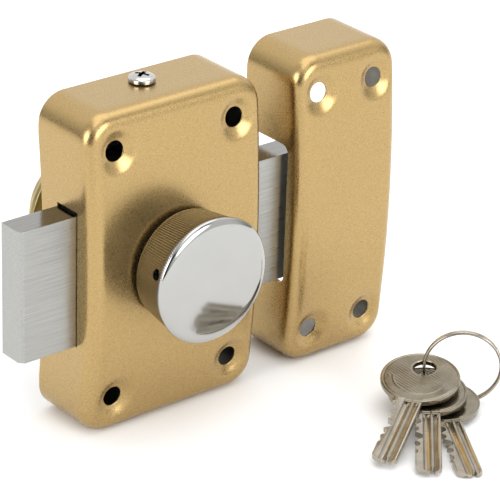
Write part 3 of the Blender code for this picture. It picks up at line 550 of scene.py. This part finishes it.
def to_disc(q):
    """Bends squares about the origin into circles."""
    size = np.abs(q)
    rho = size.max(1)
    phi = math.pi / 4 * size.min(1) / np.maximum(rho, 1e-9)
    wide = size[:, 0] >= size[:, 1]
    x = np.where(wide, np.cos(phi), np.sin(phi)) * rho * np.sign(q[:, 0])
    z = np.where(wide, np.sin(phi), np.cos(phi)) * rho * np.sign(q[:, 1])
    return np.column_stack((x, z)), rho


def bend_round(p, centre, inner, outer):
    """Grid lines become circles within the inner radius, and stay square past the outer one."""
    q = p - centre
    disc, rho = to_disc(q)
    share = (1 - smoothstep((rho - inner) / (outer - inner)))[:, None]
    return centre + q + (disc - q) * share


def crown_at(z):
    """How far the front bulges at a height above its middle."""
    return CROWN * (1 - (z / FIXING_Z) ** 2)


def edge_drop(inset):
    """How far the rounded edge lies behind the front, at a distance in from the outline."""
    share = 1 - np.clip(inset / EDGE, 0, 1)
    return EDGE * (1 - (1 - share ** EDGE_POWER) ** (1 / EDGE_POWER))


def place_grid(spots, holes, half_x, bush):
    """Bends the grid into rings round the holes, the bush and the outline's corners.

    Also gives each point's distance in from the outline.
    """
    square_within = 3.6
    blend_over = 3.9
    for hole in holes:
        spots = bend_round(spots, hole, HOLE_RINGS[4], HOLE_RINGS[-1])
    if bush:
        spots = bend_round(spots, np.zeros(2), BUSH_LINES[4], BUSH_LINES[-1])
    half = np.array((half_x, HEIGHT / 2))
    inner = half - CORNER
    q = np.abs(spots) - inner
    corner = (q > 0).all(1)
    disc, rho = to_disc(np.maximum(q, 1e-9))
    share = smoothstep((rho - square_within) / blend_over)[:, None]
    bent = q + (disc - q) * share
    spots = np.where(corner[:, None], np.sign(spots) * (inner + bent), spots)
    inset = np.where(corner, CORNER - np.hypot(bent[:, 0], bent[:, 1]),
                     (half - np.abs(spots)).min(1))
    return spots, inset


def front_depths(spots, inset, holes):
    """World Y of the front: its rounded edge, crown, dimples and the lips of the holes."""
    y = FRONT + edge_drop(inset) - crown_at(spots[:, 1])
    foot = HOLE * 0.9
    for hole in holes:
        away = np.hypot(*(spots - hole).T)
        y += DIMPLE_DEPTH * (1 - smoothstep((away - foot) / (DIMPLE_RADIUS - foot)))
        lip = np.clip(HOLE + HOLE_LIP - away, 0, HOLE_LIP)
        y += HOLE_LIP - np.sqrt(HOLE_LIP ** 2 - lip ** 2)
    return y


def front_faces(xs, zs, holes, bush):
    """Faces of the grid, except over the holes."""
    across = len(zs)
    faces = []
    for i in range(len(xs) - 1):
        for j in range(across - 1):
            middle = np.array(((xs[i] + xs[i + 1]) / 2, (zs[j] + zs[j + 1]) / 2))
            if any(np.abs(middle - hole).max() < HOLE for hole in holes):
                continue
            if bush and np.abs(middle).max() < BUSH:
                continue
            a = i * across + j
            faces.append((a, a + across, a + across + 1, a + 1))
    return faces


def grid_border(count, across):
    """Numbers of the grid's outer points, in order round the outline."""
    last = count - 1
    border = [i * across for i in range(last)] + [last * across + j for j in range(across - 1)]
    border += [i * across + across - 1 for i in range(last, 0, -1)]
    return border + list(range(across - 1, 0, -1))


def add_walls(points, faces, border, rows=10):
    """Adds the walls from the front's outline to the door. Their rear edge is a shallow arch."""
    previous = border
    for step in range(1, rows + 1):
        row = []
        for index in border:
            x, front, z = points[index]
            rise = z - AXIS
            rear = DOOR - (RELIEF * (1 - (rise / FIXING_Z) ** 2) if abs(rise) < FIXING_Z else 0)
            row.append(len(points))
            points.append((x, front + (rear - front) * step / rows, z))
        for i in range(len(border)):
            j = (i + 1) % len(border)
            faces.append((previous[i], row[i], row[j], previous[j]))
        previous = row


def clean_shell(shell):
    """Deletes the points over the holes and turns the front's faces to the front."""
    bm = bmesh.new()
    bm.from_mesh(shell.data)
    loose = [v for v in bm.verts if not v.link_faces]
    bmesh.ops.delete(bm, geom=loose, context="VERTS")
    bmesh.ops.recalc_face_normals(bm, faces=bm.faces)
    ahead = [f for f in bm.faces if f.calc_center_median().y < (FRONT - 0.5) * MM]
    if sum(f.normal.y for f in ahead) > 0:
        bmesh.ops.reverse_faces(bm, faces=bm.faces)
    bm.to_mesh(shell.data)
    bm.free()


def pressed_shell(name, centre_x, half_x, hole_x, bush):
    """A thin pressed cover, with a rounded front edge, a crowned front and dimpled holes."""
    xs = grid_lines(half_x, hole_x, bush)
    zs = grid_lines(HEIGHT / 2, FIXING_Z, bush)
    grid = np.array([(x, z) for x in xs for z in zs])
    holes = [np.array((sx * hole_x, sz * FIXING_Z)) for sx in (-1, 1) for sz in (-1, 1)]
    spots, inset = place_grid(grid, holes, half_x, bush)
    depths = front_depths(spots, inset, holes)
    points = [(centre_x + x, depth, AXIS + z) for (x, z), depth in zip(spots, depths)]
    faces = front_faces(xs, zs, holes, bush)
    add_walls(points, faces, grid_border(len(xs), len(zs)))
    shell = from_points(name, points, faces)
    clean_shell(shell)
    # The inside faces take the bare steel, which also carries painted shade.
    for finish in (GOLD, BARE_STEEL_AND_SHADE):
        shell.data.materials.append(finish)
    sheet = shell.modifiers.new("sheet", "SOLIDIFY")
    sheet.material_offset = 1
    sheet.thickness = SHEET * MM
    sheet.offset = -1
    sheet.use_even_offset = False
    return plain(shell)


def screw_place():
    """X and Y of the cover screw."""
    return [float(v) for v in (SCREW_LOW + SCREW_HIGH)[:2] / 2]


def case_cover():
    """The shell, with slots for the bolt in both sides and a hole for the cover screw."""
    cover = pressed_shell("case_cover_pressed", 0.0, float(CASE_HIGH[0]), FIXING_X, True)
    low = float(BOLT_LOW[2]) - 0.3
    high = float(BOLT_HIGH[2]) + 1.1
    front = float(BOLT_LOW[1]) - 0.3
    rear = float(BOLT_HIGH[1]) + 0.3
    reach = float(CASE_HIGH[0]) + 2
    slots = block((-reach, front, low), (reach, rear, high))
    x, y = screw_place()
    hole = rod(2.3, (x, y, HEIGHT - 4), (x, y, HEIGHT + 4))
    shade(combine(cover, [slots, hole]), 38)
    finish_piece(cover, "case_cover_pressed", "case", "gold_paint", None, "case_cover")


def rounded_rectangle(low, high, radius, steps=8):
    """Outline of a rectangle between two corners, with round corners."""
    (x0, y0), (x1, y1) = low, high
    points = []
    for cx, cy, first in ((x1 - radius, y1 - radius, 0), (x0 + radius, y1 - radius, 90),
                          (x0 + radius, y0 + radius, 180), (x1 - radius, y0 + radius, 270)):
        for i in range(steps + 1):
            angle = math.radians(first + 90 * i / steps)
            points.append((cx + radius * math.cos(angle), cy + radius * math.sin(angle)))
    return points


def keeper():
    """The shell, with a mouth for the bolt in its left side, open towards the door."""
    centre = float(KEEPER_LOW[0] + KEEPER_HIGH[0]) / 2
    half = float(KEEPER_HIGH[0] - KEEPER_LOW[0]) / 2
    shell = pressed_shell("keeper_pressed", centre, half, KEEPER_FIXING_X, False)
    half_mouth = 24
    outline = rounded_rectangle((FRONT + 4.1, AXIS - half_mouth), (DOOR + 12, AXIS + half_mouth), 3.0)
    left = float(KEEPER_LOW[0])
    slot = prism(outline, left - 4, left + 4, FACING_X)
    shade(combine(shell, [slot]), 38)
    finish_piece(shell, "keeper_pressed", "keeper", "gold_paint", None, "keeper")


# ---------------------------------------------------------------- knob

def knob_cap():
    """The knob's slightly domed face, with a rounded rim."""
    front = float(CAP_LOW[1])
    rear = float(CAP_HIGH[1])
    radius = KNOB_TOP
    rim_in = 4.2
    dome = 0.25
    rim_deep = rear - front - 0.1 - dome
    profile = [(0, rear), (radius - 1.0, rear), (radius - 0.6, rear - 0.1), (radius - 0.2, rear - 0.5)]
    for i in range(15):
        angle = math.radians(90 * i / 14)
        profile.append((radius - rim_in + rim_in * math.cos(angle),
                        front + dome + rim_deep - rim_deep * math.sin(angle)))
    for i in range(1, 12):
        r = (radius - rim_in) * (1 - i / 11)
        profile.append((r, front + dome * (r / (radius - rim_in)) ** 2))
    cap = shade(turned("knob_cap_turned", profile, along_y(0, AXIS), 180), 40)
    finish_piece(cap, "knob_cap_turned", "knob", "chrome", CHROME, "knob_cap")


def knob_body():
    """The knob's knurled side, hollow at the back round a boss for the spindle."""
    rear = float(BODY_HIGH[1])
    front = float(BODY_LOW[1])
    boss = 6.5
    web = rear - 8
    head = front + 2.0
    side = [(KNOB_BASE - 0.3, rear - 0.25), (KNOB_BASE, rear - 0.8), (KNOB_BASE + 0.05, rear - 1.2)]
    rows = 12
    for i in range(1, rows):
        t = i / rows
        side.append((KNOB_BASE + (KNOB_TOP - 0.5 - KNOB_BASE) * t,
                     rear - 1.2 + (front + 0.9 - rear + 1.2) * t))
    side += [(KNOB_TOP - 0.52, front + 0.7), (KNOB_TOP - 0.75, front + 0.25),
             (KNOB_TOP - 1.0, front)]
    hollow = [(4.3, rear), (boss - 0.3, rear), (boss, rear - 0.3), (boss, web), (14.6, web),
              (15, web + 0.4), (15, rear - 0.2), (15.2, rear), (KNOB_BASE - 0.7, rear)]
    profile = hollow + side + [(0, front), (0, head), (4.3, head)]
    first = len(hollow) + 1
    last = len(hollow) + len(side) - 3
    sides = KNURL_TEETH * 6

    def knurl(row, angle):
        if not first <= row <= last:
            return 0
        return KNURL_DEPTH * (1 - abs(math.sin(angle * KNURL_TEETH / 2)) ** 0.8)

    body = turned("knob_body_knurled", profile, along_y(0, AXIS), sides, True, knurl)
    low, high = cad("knob_set_screw")
    turn = math.radians(SET_SCREW_ANGLE)
    direction = Vector((math.cos(turn), 0, math.sin(turn)))
    start = Vector((0, float(low[1] + high[1]) / 2, AXIS))
    combine(body, [rod(1.8, start, start + direction * 24, 40)])
    # The knurled side takes the darker chrome copy, as painted shade.
    finish_piece(shade(body, 50), "knob_body_knurled", "knob", "chrome", KNURL_CHROME_AND_SHADE, "knob_body")


def cover_screw():
    """A pan head with a cross recess, whose inside faces get black steel as painted shade."""
    x, y = screw_place()
    seat = HEIGHT + 0.3
    top = float(SCREW_HIGH[2])
    radius = float(SCREW_HIGH[0]) - x
    height = top - seat
    head = []
    for i in range(13):
        angle = math.radians(90 * i / 12)
        head.append((radius * math.sin(angle) ** 0.85, seat + 0.75 + (height - 0.75) * math.cos(angle)))
    profile = head + [(radius, seat + 0.2), (radius - 0.15, seat), (2, seat), (2, seat - 6.2),
                      (1.5, seat - 6.8), (0, seat - 6.8)]
    screw = turned("cover_screw_pan", profile, Matrix.Translation((x, y, 0)), 72)
    arms = []
    for half_x, half_y in ((2.3, 0.62), (0.62, 2.3)):
        for scale, low in ((1.0, 1.1), (0.7, 0.5)):
            arms.append(block((-half_x * scale, -half_y * scale, seat + low),
                              (half_x * scale, half_y * scale, top + 1)))
    place = Matrix.Translation((x * MM, y * MM, 0)) @ Matrix.Rotation(math.radians(28), 4, "Z")
    for arm in arms:
        arm.data.transform(place)
    combine(screw, arms)
    ease(screw, 0.08, 2, 40)
    finish_piece(screw, "cover_screw_pan", "case", "chrome", SATIN_CHROME, "cover_screw")
    screw.data.materials.append(BLACK_OXIDE_AND_RECESS_SHADE)
    radii = [r for r, z in head]
    heights = [z for r, z in head]
    # Faces inside the cross recess take the black steel: painted shade in the recess, not the screw's
    # own finish.
    for face in screw.data.polygons:
        px, py, pz = face.center / MM
        away = math.hypot(px - x, py - y)
        if away < 2.5 and pz > seat and pz < np.interp(away, radii, heights) - 0.14:
            face.material_index = 1


# ---------------------------------------------------------------- solid parts from the CAD shape

def eased_copy(node, name, body, slot, finish, width):
    """A new piece with the CAD node's shape and rounded edges. Its large faces stay flat."""
    obj = new_object(name, frame["nodes"][node].data.copy())
    bm = bmesh.new()
    bm.from_mesh(obj.data)
    bmesh.ops.remove_doubles(bm, verts=bm.verts, dist=SAME_PLACE)
    bmesh.ops.dissolve_limit(bm, angle_limit=math.radians(1.5), verts=bm.verts, edges=bm.edges)
    bmesh.ops.recalc_face_normals(bm, faces=bm.faces)
    bm.to_mesh(obj.data)
    bm.free()
    ease(obj, width)
    large = 20 * MM * MM
    for face in obj.data.polygons:
        face.use_smooth = face.area < large
    return finish_piece(obj, name, body, slot, finish, node)


def bolt():
    """Ground faces, and darker rolled edges above and below."""
    bar = eased_copy("bolt", "bolt_ground", "bolt", "brushed_steel", BRUSHED, 0.3)
    bar.data.materials.append(ROLLED)
    for face in bar.data.polygons:
        if abs(face.normal.z) > 0.8:
            face.material_index = 1


# ---------------------------------------------------------------- cylinder

def pin_places():
    """Y of each pin."""
    return [float(sum(corner[1] for corner in cad(f"key_pin_{i}")) / 2) for i in range(1, 6)]


def cylinder_body():
    """A turned barrel with a larger head, bored for the plug, the pins and the fixing screws."""
    inner = float(CYL_LOW[1])
    outer = float(CYL_HIGH[1])
    head = 17.5
    seat = outer - 2.0
    throat = inner + 2.8
    profile = [(8.0, outer), (head - 1.4, outer), (head - 0.5, outer - 0.3), (head, outer - 1.2),
               (head, outer - 3.6), (head - 0.4, outer - 3.9), (head - 0.4, outer - 4.3),
               (head, outer - 4.6), (head, outer - 5.2), (CYLINDER, outer - 5.2),
               (CYLINDER, inner), (8.6, inner), (8.6, throat), (6.8, throat), (6.8, seat),
               (8.0, seat)]
    body = turned("cylinder_turned", filleted(profile, 0.35, True), along_y(0, AXIS), 128, True)
    holes = [rod(1.5, (0, y, AXIS + 4), (0, y, AXIS + 13), 20) for y in pin_places()]
    holes += [rod(1.8, (x, inner - 1, AXIS), (x, inner + 14, AXIS), 24) for x in (-11.4, 11.4)]
    shade(combine(body, holes), 35)
    finish_piece(body, "cylinder_turned", "case", "brass", BRASS, "cylinder_body")


def cylinder_rose():
    """A dished collar round the cylinder."""
    rear = float(ROSE_LOW[1])
    top = float(ROSE_HIGH[1])
    radius = float(ROSE_HIGH[0])
    inner = CYLINDER + 0.3
    profile = [(inner, top), (17.4, top), (19.0, top - 0.15), (radius - 2.9, top - 0.6),
               (radius - 1.8, top - 1.25), (radius - 1.0, top - 2.0), (radius - 0.4, top - 2.8),
               (radius, top - 3.8), (radius, rear + 0.25), (radius - 0.2, rear),
               (radius - 1.6, rear), (radius - 2.2, rear + 1.8), (radius - 3.8, rear + 3.2),
               (17.0, rear + 3.9), (inner, rear + 3.9)]
    rose = turned("rose_dished", filleted(profile, 0.3, True), along_y(0, AXIS), 144, True)
    finish_piece(shade(rose, 35), "rose_dished", "case", "brass", DULL_BRASS, "cylinder_rose")


def plug():
    """The turning core, with the keyway, the pins' holes and a slot for the tailpiece."""
    inner = float(PLUG_LOW[1])
    outer = float(PLUG_HIGH[1])
    seat = outer - 1.9
    groove = inner + 0.9
    profile = [(0, outer - 0.35), (1.5, outer - 0.3), (3.0, outer - 0.1), (3.6, outer), (7.2, outer),
               (7.7, outer - 0.4), (7.7, seat), (6.5, seat), (6.5, groove + 1.6),
               (5.0, groove + 1.6), (5.0, groove), (6.5, groove), (6.5, inner), (0, inner)]
    core = turned("plug_turned", filleted(profile, 0.15), along_y(0, AXIS), 96)
    start = inner + 4.5
    tools = [block((-1.2, start, AXIS - 5), (1.2, outer + 1, AXIS - 1.6)),
             block((-0.55, start, AXIS - 2.2), (1.2, outer + 1, AXIS + 0.4)),
             block((-1.2, start, AXIS - 0.2), (1.2, outer + 1, AXIS + 3.2)),
             block((-3.1, inner - 1, AXIS - 1.1), (3.1, inner + 3.2, AXIS + 1.1))]
    tools += [rod(1.5, (0, y, AXIS + 1), (0, y, AXIS + 8), 20) for y in pin_places()]
    shade(combine(core, tools), 35)
    finish_piece(core, "plug_turned", "plug", "brass", BRASS, "plug")


# ---------------------------------------------------------------- keys and ring

# A key lies in its own XY plane: the eye at the origin, the blade along X. Lengths in millimetres.
BOW = 12.6                  # radius
BOW_X = 5.0                 # the bow's centre
EYE = 3.7                   # radius
FIELD = 11.4                # radius of the ribbed field
FIELD_HALF = 0.88           # half its thickness
SHOULDER = BOW_X + BOW + 0.6
REACH = 47.4                # the blade's tip
BLADE = 4.0                 # half the blade's width


def bow_rings():
    """Rings of the bow's upper half, from the eye outward: centre, radius, height, field or not."""
    rings = [(0, EYE, 0, 0), (0, EYE, 0.7, 0), (0, EYE + 0.08, 0.82, 0),
             (0, EYE + 0.25, FIELD_HALF, 0)]
    steps = 54
    for i in range(1, steps):
        t = i / steps
        rings.append((BOW_X * t, EYE + 0.4 + (FIELD - EYE - 0.4) * t, FIELD_HALF, 1))
    rings += [(BOW_X, FIELD + 0.1, 0.86, 0), (BOW_X, FIELD + 0.25, 0.80, 0),
              (BOW_X, FIELD + 0.45, 0.92, 0), (BOW_X, FIELD + 0.6, 0.96, 0),
              (BOW_X, BOW - 0.5, 0.96, 0), (BOW_X, BOW - 0.25, 0.90, 0),
              (BOW_X, BOW - 0.08, 0.76, 0), (BOW_X, BOW, 0.55, 0)]
    return rings


def field_relief(x, y):
    """Height of the bow's field: fine ribs, and a smooth band beside the blade."""
    away = math.hypot(x - BOW_X, y)
    angle = abs(math.atan2(y, x - BOW_X))
    if away > 8.3 and angle < math.radians(80):
        return 0.08 * math.exp(-((away - 8.5) / 0.25) ** 2)
    return 0.05 * math.cos(2 * math.pi * (0.86 * x - 0.5 * y) / 0.95)


def bow():
    """The round bow, with its eye off centre."""
    sides = 168
    rings = bow_rings()
    upper = rings + [(BOW_X, BOW, 0, 0)]
    lower = [(c, r, -z, f) for c, r, z, f in reversed(rings[1:])]
    points = []
    rows = []
    for centre, radius, height, field in upper + lower:
        rows.append([len(points) + i for i in range(sides)])
        for i in range(sides):
            angle = 2 * math.pi * i / sides
            x = centre + radius * math.cos(angle)
            y = radius * math.sin(angle)
            rise = field_relief(x, y) if field else 0
            points.append((x, y, math.copysign(abs(height) + rise, height) if field else height))
    faces = []
    for a, b in zip(rows, rows[1:] + rows[:1]):
        for i in range(sides):
            j = (i + 1) % sides
            faces.append((a[i], a[j], b[j], b[i]))
    return outward(from_points("bow", points, faces))


def blade_outline():
    """The blade seen from above, with its cuts on one side and a notched tip."""
    first = SHOULDER + 4.2
    points = [(SHOULDER - 1.5, -BLADE)]
    for i, depth in enumerate((1.9, 1.1, 2.4, 1.5, 0.8)):
        x = first + 4 * i
        ramp = depth * 0.7
        points += [(x - 0.75 - ramp, -BLADE), (x - 0.75, -BLADE + depth),
                   (x + 0.75, -BLADE + depth), (x + 0.75 + ramp, -BLADE)]
    points += [(REACH - 1.6, -BLADE), (REACH, -BLADE + 2.2), (REACH, 0.5), (REACH - 1.5, 0.8),
               (REACH - 1.5, 1.5), (REACH, 1.9), (REACH, BLADE - 1.6), (REACH - 1.4, BLADE),
               (SHOULDER - 1.5, BLADE)]
    return filleted(points, 0.35, True, 2)


def blade_section():
    """Across the blade: grooves on both faces, as (y, z)."""
    top = [(BLADE, 0.45), (3.75, 0.8), (3.3, 0.85), (2.75, 0.3), (2.1, 0.15), (1.55, 0.75),
           (1.15, KEY_HALF), (0.8, KEY_HALF), (0.3, 0.45), (-0.4, 0.05), (-1.1, 0.3),
           (-1.75, KEY_HALF), (-3.8, KEY_HALF), (-BLADE, 0.85)]
    bottom = [(-BLADE, -0.85), (-3.8, -KEY_HALF), (-2.3, -KEY_HALF), (-1.9, -0.35), (-0.9, -0.35),
              (-0.5, -KEY_HALF), (2.0, -KEY_HALF), (2.3, -0.45), (3.1, -0.45), (3.4, -KEY_HALF),
              (3.8, -KEY_HALF), (BLADE, -0.7)]
    return top + bottom


def key_shape():
    """Bow, neck and blade joined into one piece."""
    blade = prism(blade_section(), SHOULDER - 1.5, REACH, FACING_X)
    combine(blade, [prism(blade_outline(), -2, 2, Matrix.Identity(4))], "INTERSECT")
    ease(blade, 0.1, 1, 40)
    start = BOW_X + BOW - 2.2
    stop = SHOULDER + 0.9
    outline = [(start, -5.2), (stop, -5.2), (stop, -BLADE + 0.2), (SHOULDER, -BLADE + 0.2),
               (SHOULDER, BLADE - 0.1), (start, BLADE - 0.1)]
    neck = prism(filleted(outline, 0.5, True), -FIELD_HALF, FIELD_HALF, Matrix.Identity(4))
    ease(neck, 0.2, 3, 40)
    key = bow()
    return shade(combine(key, [neck, blade], "UNION"), 28)


def keys():
    """The same key three times, each turned to the plane that it swings in."""
    shape = key_shape()
    bow_faces = [face.index for face in shape.data.polygons if face.center.x < SHOULDER * MM]
    for number in (1, 2, 3):
        name = f"key_{number}"
        joint = JOINTS[f"{name}_swing"]
        up = Vector(joint["axis"]).normalized()
        heading = math.atan2(up.y, up.x)
        lean = math.acos(up.z)
        along = Vector((math.cos(lean) * math.cos(heading), math.cos(lean) * math.sin(heading),
                        -math.sin(lean)))
        side = up.cross(along)
        turn = Matrix((along, side, up)).transposed().to_4x4()
        obj = new_object(name + "_cut", shape.data.copy())
        obj.data.transform(Matrix.Translation(joint["pos_m"]) @ turn)
        finish_piece(obj, name + "_cut", name, "nickel", NICKEL, name)
        obj.data.materials.append(DULL_NICKEL)
        for index in bow_faces:
            obj.data.polygons[index].material_index = 1
    drop(shape)


def key_ring():
    """A split ring: two turns of round wire side by side, with a short step between them."""
    centre = Vector((RING_LOW + RING_HIGH) / 2)
    wire = 0.5
    radius = 12.1
    per_turn = 96
    sides = 14
    along = Vector((math.cos(RING_TURN), math.sin(RING_TURN), 0))
    across = Vector((-math.sin(RING_TURN), math.cos(RING_TURN), 0))
    up = Vector((0, 0, 1))
    start = math.radians(35)
    step = math.radians(24)
    half_gap = wire * 0.98
    count = 2 * per_turn
    points = []
    for i in range(count + 1):
        sweep = 2 * math.pi * i / per_turn
        crossed = float(smoothstep((sweep - 2 * math.pi + step / 2) / step))
        out = along * math.cos(start + sweep) + up * math.sin(start + sweep)
        here = centre + out * radius + across * (half_gap * (2 * crossed - 1))
        for k in range(sides):
            angle = 2 * math.pi * k / sides
            points.append(here + out * (wire * math.cos(angle)) + across * (wire * math.sin(angle)))
    faces = [(i * sides + k, i * sides + (k + 1) % sides, (i + 1) * sides + (k + 1) % sides,
              (i + 1) * sides + k) for i in range(count) for k in range(sides)]
    faces += [tuple(range(sides)), tuple(count * sides + k for k in reversed(range(sides)))]
    ring = shade(outward(from_points("split_ring", points, faces)), 50)
    finish_piece(ring, "split_ring", "key_ring", "nickel", NICKEL, "key_ring")


# ---------------------------------------------------------------- the rest of the CAD

def dress_cad_nodes():
    """Gives the CAD nodes that stay their finish, with eased edges on the larger ones."""
    slots = {row["node"]: row["material_slot"] for row in frame["record"]["subparts"]}
    for name, obj in frame["nodes"].items():
        if obj.hide_render:
            continue
        obj.data.materials.clear()
        obj.data.materials.append(SPECIAL_FINISHES.get(name, FINISHES[slots[name]]))
        weld = obj.modifiers.new("weld", "WELD")
        weld.merge_threshold = SAME_PLACE
        bevel = obj.modifiers.new("ease", "BEVEL")
        bevel.width = (0.06 if "pin" in name or "spring" in name else 0.15) * MM
        bevel.segments = 2
        bevel.limit_method = "ANGLE"
        bevel.angle_limit = math.radians(40)


# ---------------------------------------------------------------- studio

# Bright areas of the world: direction, cosine where each begins, cosine where it is full, brightness
PATCHES = (((0.42, 0.71, 0.57), 0.35, 0.75, 1.2),
           ((0.30, -0.20, 0.93), 0.60, 0.85, 1.3),
           ((0.35, -0.90, 0.25), 0.60, 0.90, 0.95),
           ((-0.95, -0.10, 0.30), 0.91, 0.98, 6.0),
           ((0.10, -0.86, 0.40), 0.91, 0.98, 6.0))
LIGHT_AIM = (0.02, 0, 0.05)


def floor():
    """A large pale floor."""
    size = 4000
    ground = from_points("studio_floor", [(-size, -size, -0.1), (size, -size, -0.1),
                                          (size, size, -0.1), (-size, size, -0.1)],
                         [(0, 1, 2, 3)])
    m = Material("studio_floor", Roughness=0.9)
    m.colour(m.mix(m.noise(6, 2), (0.93, 0.93, 0.93), (0.95, 0.95, 0.95)))
    ground.data.materials.append(m.made)


def softbox(name, place, aim, size, power):
    """A rectangular area light."""
    light = bpy.data.lights.new(name, "AREA")
    light.shape = "RECTANGLE"
    light.size, light.size_y = size
    light.energy = power
    obj = new_object(name, light)
    obj.location = place
    obj.rotation_euler = (Vector(aim) - Vector(place)).to_track_quat("-Z", "Y").to_euler()


def facing(tree, where, direction):
    """Cosine of the angle to a direction."""
    made = tree.nodes.new("ShaderNodeVectorMath")
    made.operation = "DOT_PRODUCT"
    made.inputs[1].default_value = direction.normalized()
    tree.links.new(where, made.inputs[0])
    return made.outputs["Value"]


def blend(tree, share, level, brightness):
    """The level, with a share of a fixed brightness mixed in."""
    made = tree.nodes.new("ShaderNodeMix")
    tree.links.new(share, made.inputs[0])
    tree.links.new(level, made.inputs[2])
    made.inputs[3].default_value = brightness
    return made.outputs[0]


def ranged(tree, value, limits):
    """Moves a value smoothly from one range to another: from low, from high, to low, to high."""
    made = tree.nodes.new("ShaderNodeMapRange")
    made.interpolation_type = "SMOOTHSTEP"
    tree.links.new(value, made.inputs["Value"])
    for key, number in zip(("From Min", "From Max", "To Min", "To Max"), limits):
        made.inputs[key].default_value = number
    return made.outputs["Result"]


def world():
    """A pale room with broad soft areas and two small lamps, and a dark gap where the camera stands."""
    made = bpy.data.worlds.new("studio")
    bpy.context.scene.world = made
    made.use_nodes = True
    tree = made.node_tree
    where = tree.nodes.new("ShaderNodeTexCoord").outputs["Generated"]
    parts = tree.nodes.new("ShaderNodeSeparateXYZ")
    tree.links.new(where, parts.inputs[0])
    level = ranged(tree, parts.outputs["Z"], (0.0, 0.45, 0.36, 0.72))
    for direction, outer, inner, brightness in PATCHES:
        share = ranged(tree, facing(tree, where, Vector(direction)), (outer, inner, 0, 1))
        level = blend(tree, share, level, brightness)
    # The dark gap is a strip through the camera's direction and another one above the object.
    eye = bpy.context.scene.camera.matrix_world.col[2].to_3d()
    strip = eye.cross(Vector((0.31, -0.51, 0.785)))
    off_strip = tree.nodes.new("ShaderNodeMath")
    off_strip.operation = "ABSOLUTE"
    tree.links.new(facing(tree, where, strip), off_strip.inputs[0])
    dark = tree.nodes.new("ShaderNodeMath")
    dark.operation = "MULTIPLY"
    tree.links.new(ranged(tree, off_strip.outputs[0], (0.24, 0.34, 1, 0)), dark.inputs[0])
    tree.links.new(ranged(tree, facing(tree, where, eye), (0.32, 0.52, 0, 1)), dark.inputs[1])
    level = blend(tree, dark.outputs[0], level, 0.03)
    tree.links.new(level, tree.nodes["Background"].inputs["Strength"])
    tree.nodes["Background"].inputs["Color"].default_value = (1, 1, 1, 1)


def camera():
    """Placed by a fit of the photograph's perspective, in degrees and millimetres."""
    yaw, pitch, roll = (math.radians(v) for v in (39.90, 25.70, -1.914))
    ahead = Vector((math.sin(yaw) * math.cos(pitch), math.cos(yaw) * math.cos(pitch),
                    -math.sin(pitch)))
    right = Vector((math.cos(yaw), -math.sin(yaw), 0))
    down = ahead.cross(right)
    x_axis = right * math.cos(roll) + down * math.sin(roll)
    y_axis = right * math.sin(roll) - down * math.cos(roll)
    data = bpy.data.cameras.new("camera")
    data.lens = 200.32
    data.sensor_width = 36
    data.clip_start = 0.01
    data.clip_end = 50
    obj = new_object("camera", data)
    turn = Matrix((x_axis, y_axis, -ahead)).transposed().to_4x4()
    obj.matrix_world = Matrix.Translation(Vector((-471.79, -612.07, 423.84)) * MM) @ turn
    bpy.context.scene.camera = obj


# ---------------------------------------------------------------- assembly

camera()
case_cover()
keeper()
knob_cap()
knob_body()
cover_screw()
cylinder_body()
cylinder_rose()
plug()
bolt()
eased_copy("base_plate", "base_plate_stamped", "case", "zinc_steel", ZINC, 0.2)
eased_copy("guide_rail_upper", "guide_rail_upper_bent", "case", "zinc_steel", ZINC, 0.3)
eased_copy("guide_rail_lower", "guide_rail_lower_bent", "case", "zinc_steel", ZINC, 0.3)
keys()
key_ring()
dress_cad_nodes()
floor()
world()
softbox("key_light", (-0.35, -1.2, 1.5), LIGHT_AIM, (1.3, 1.3), 6)
softbox("top_light", (0.25, -0.1, 1.8), LIGHT_AIM, (1.8, 1.8), 11)
bpy.context.scene.view_settings.view_transform = "Standard"
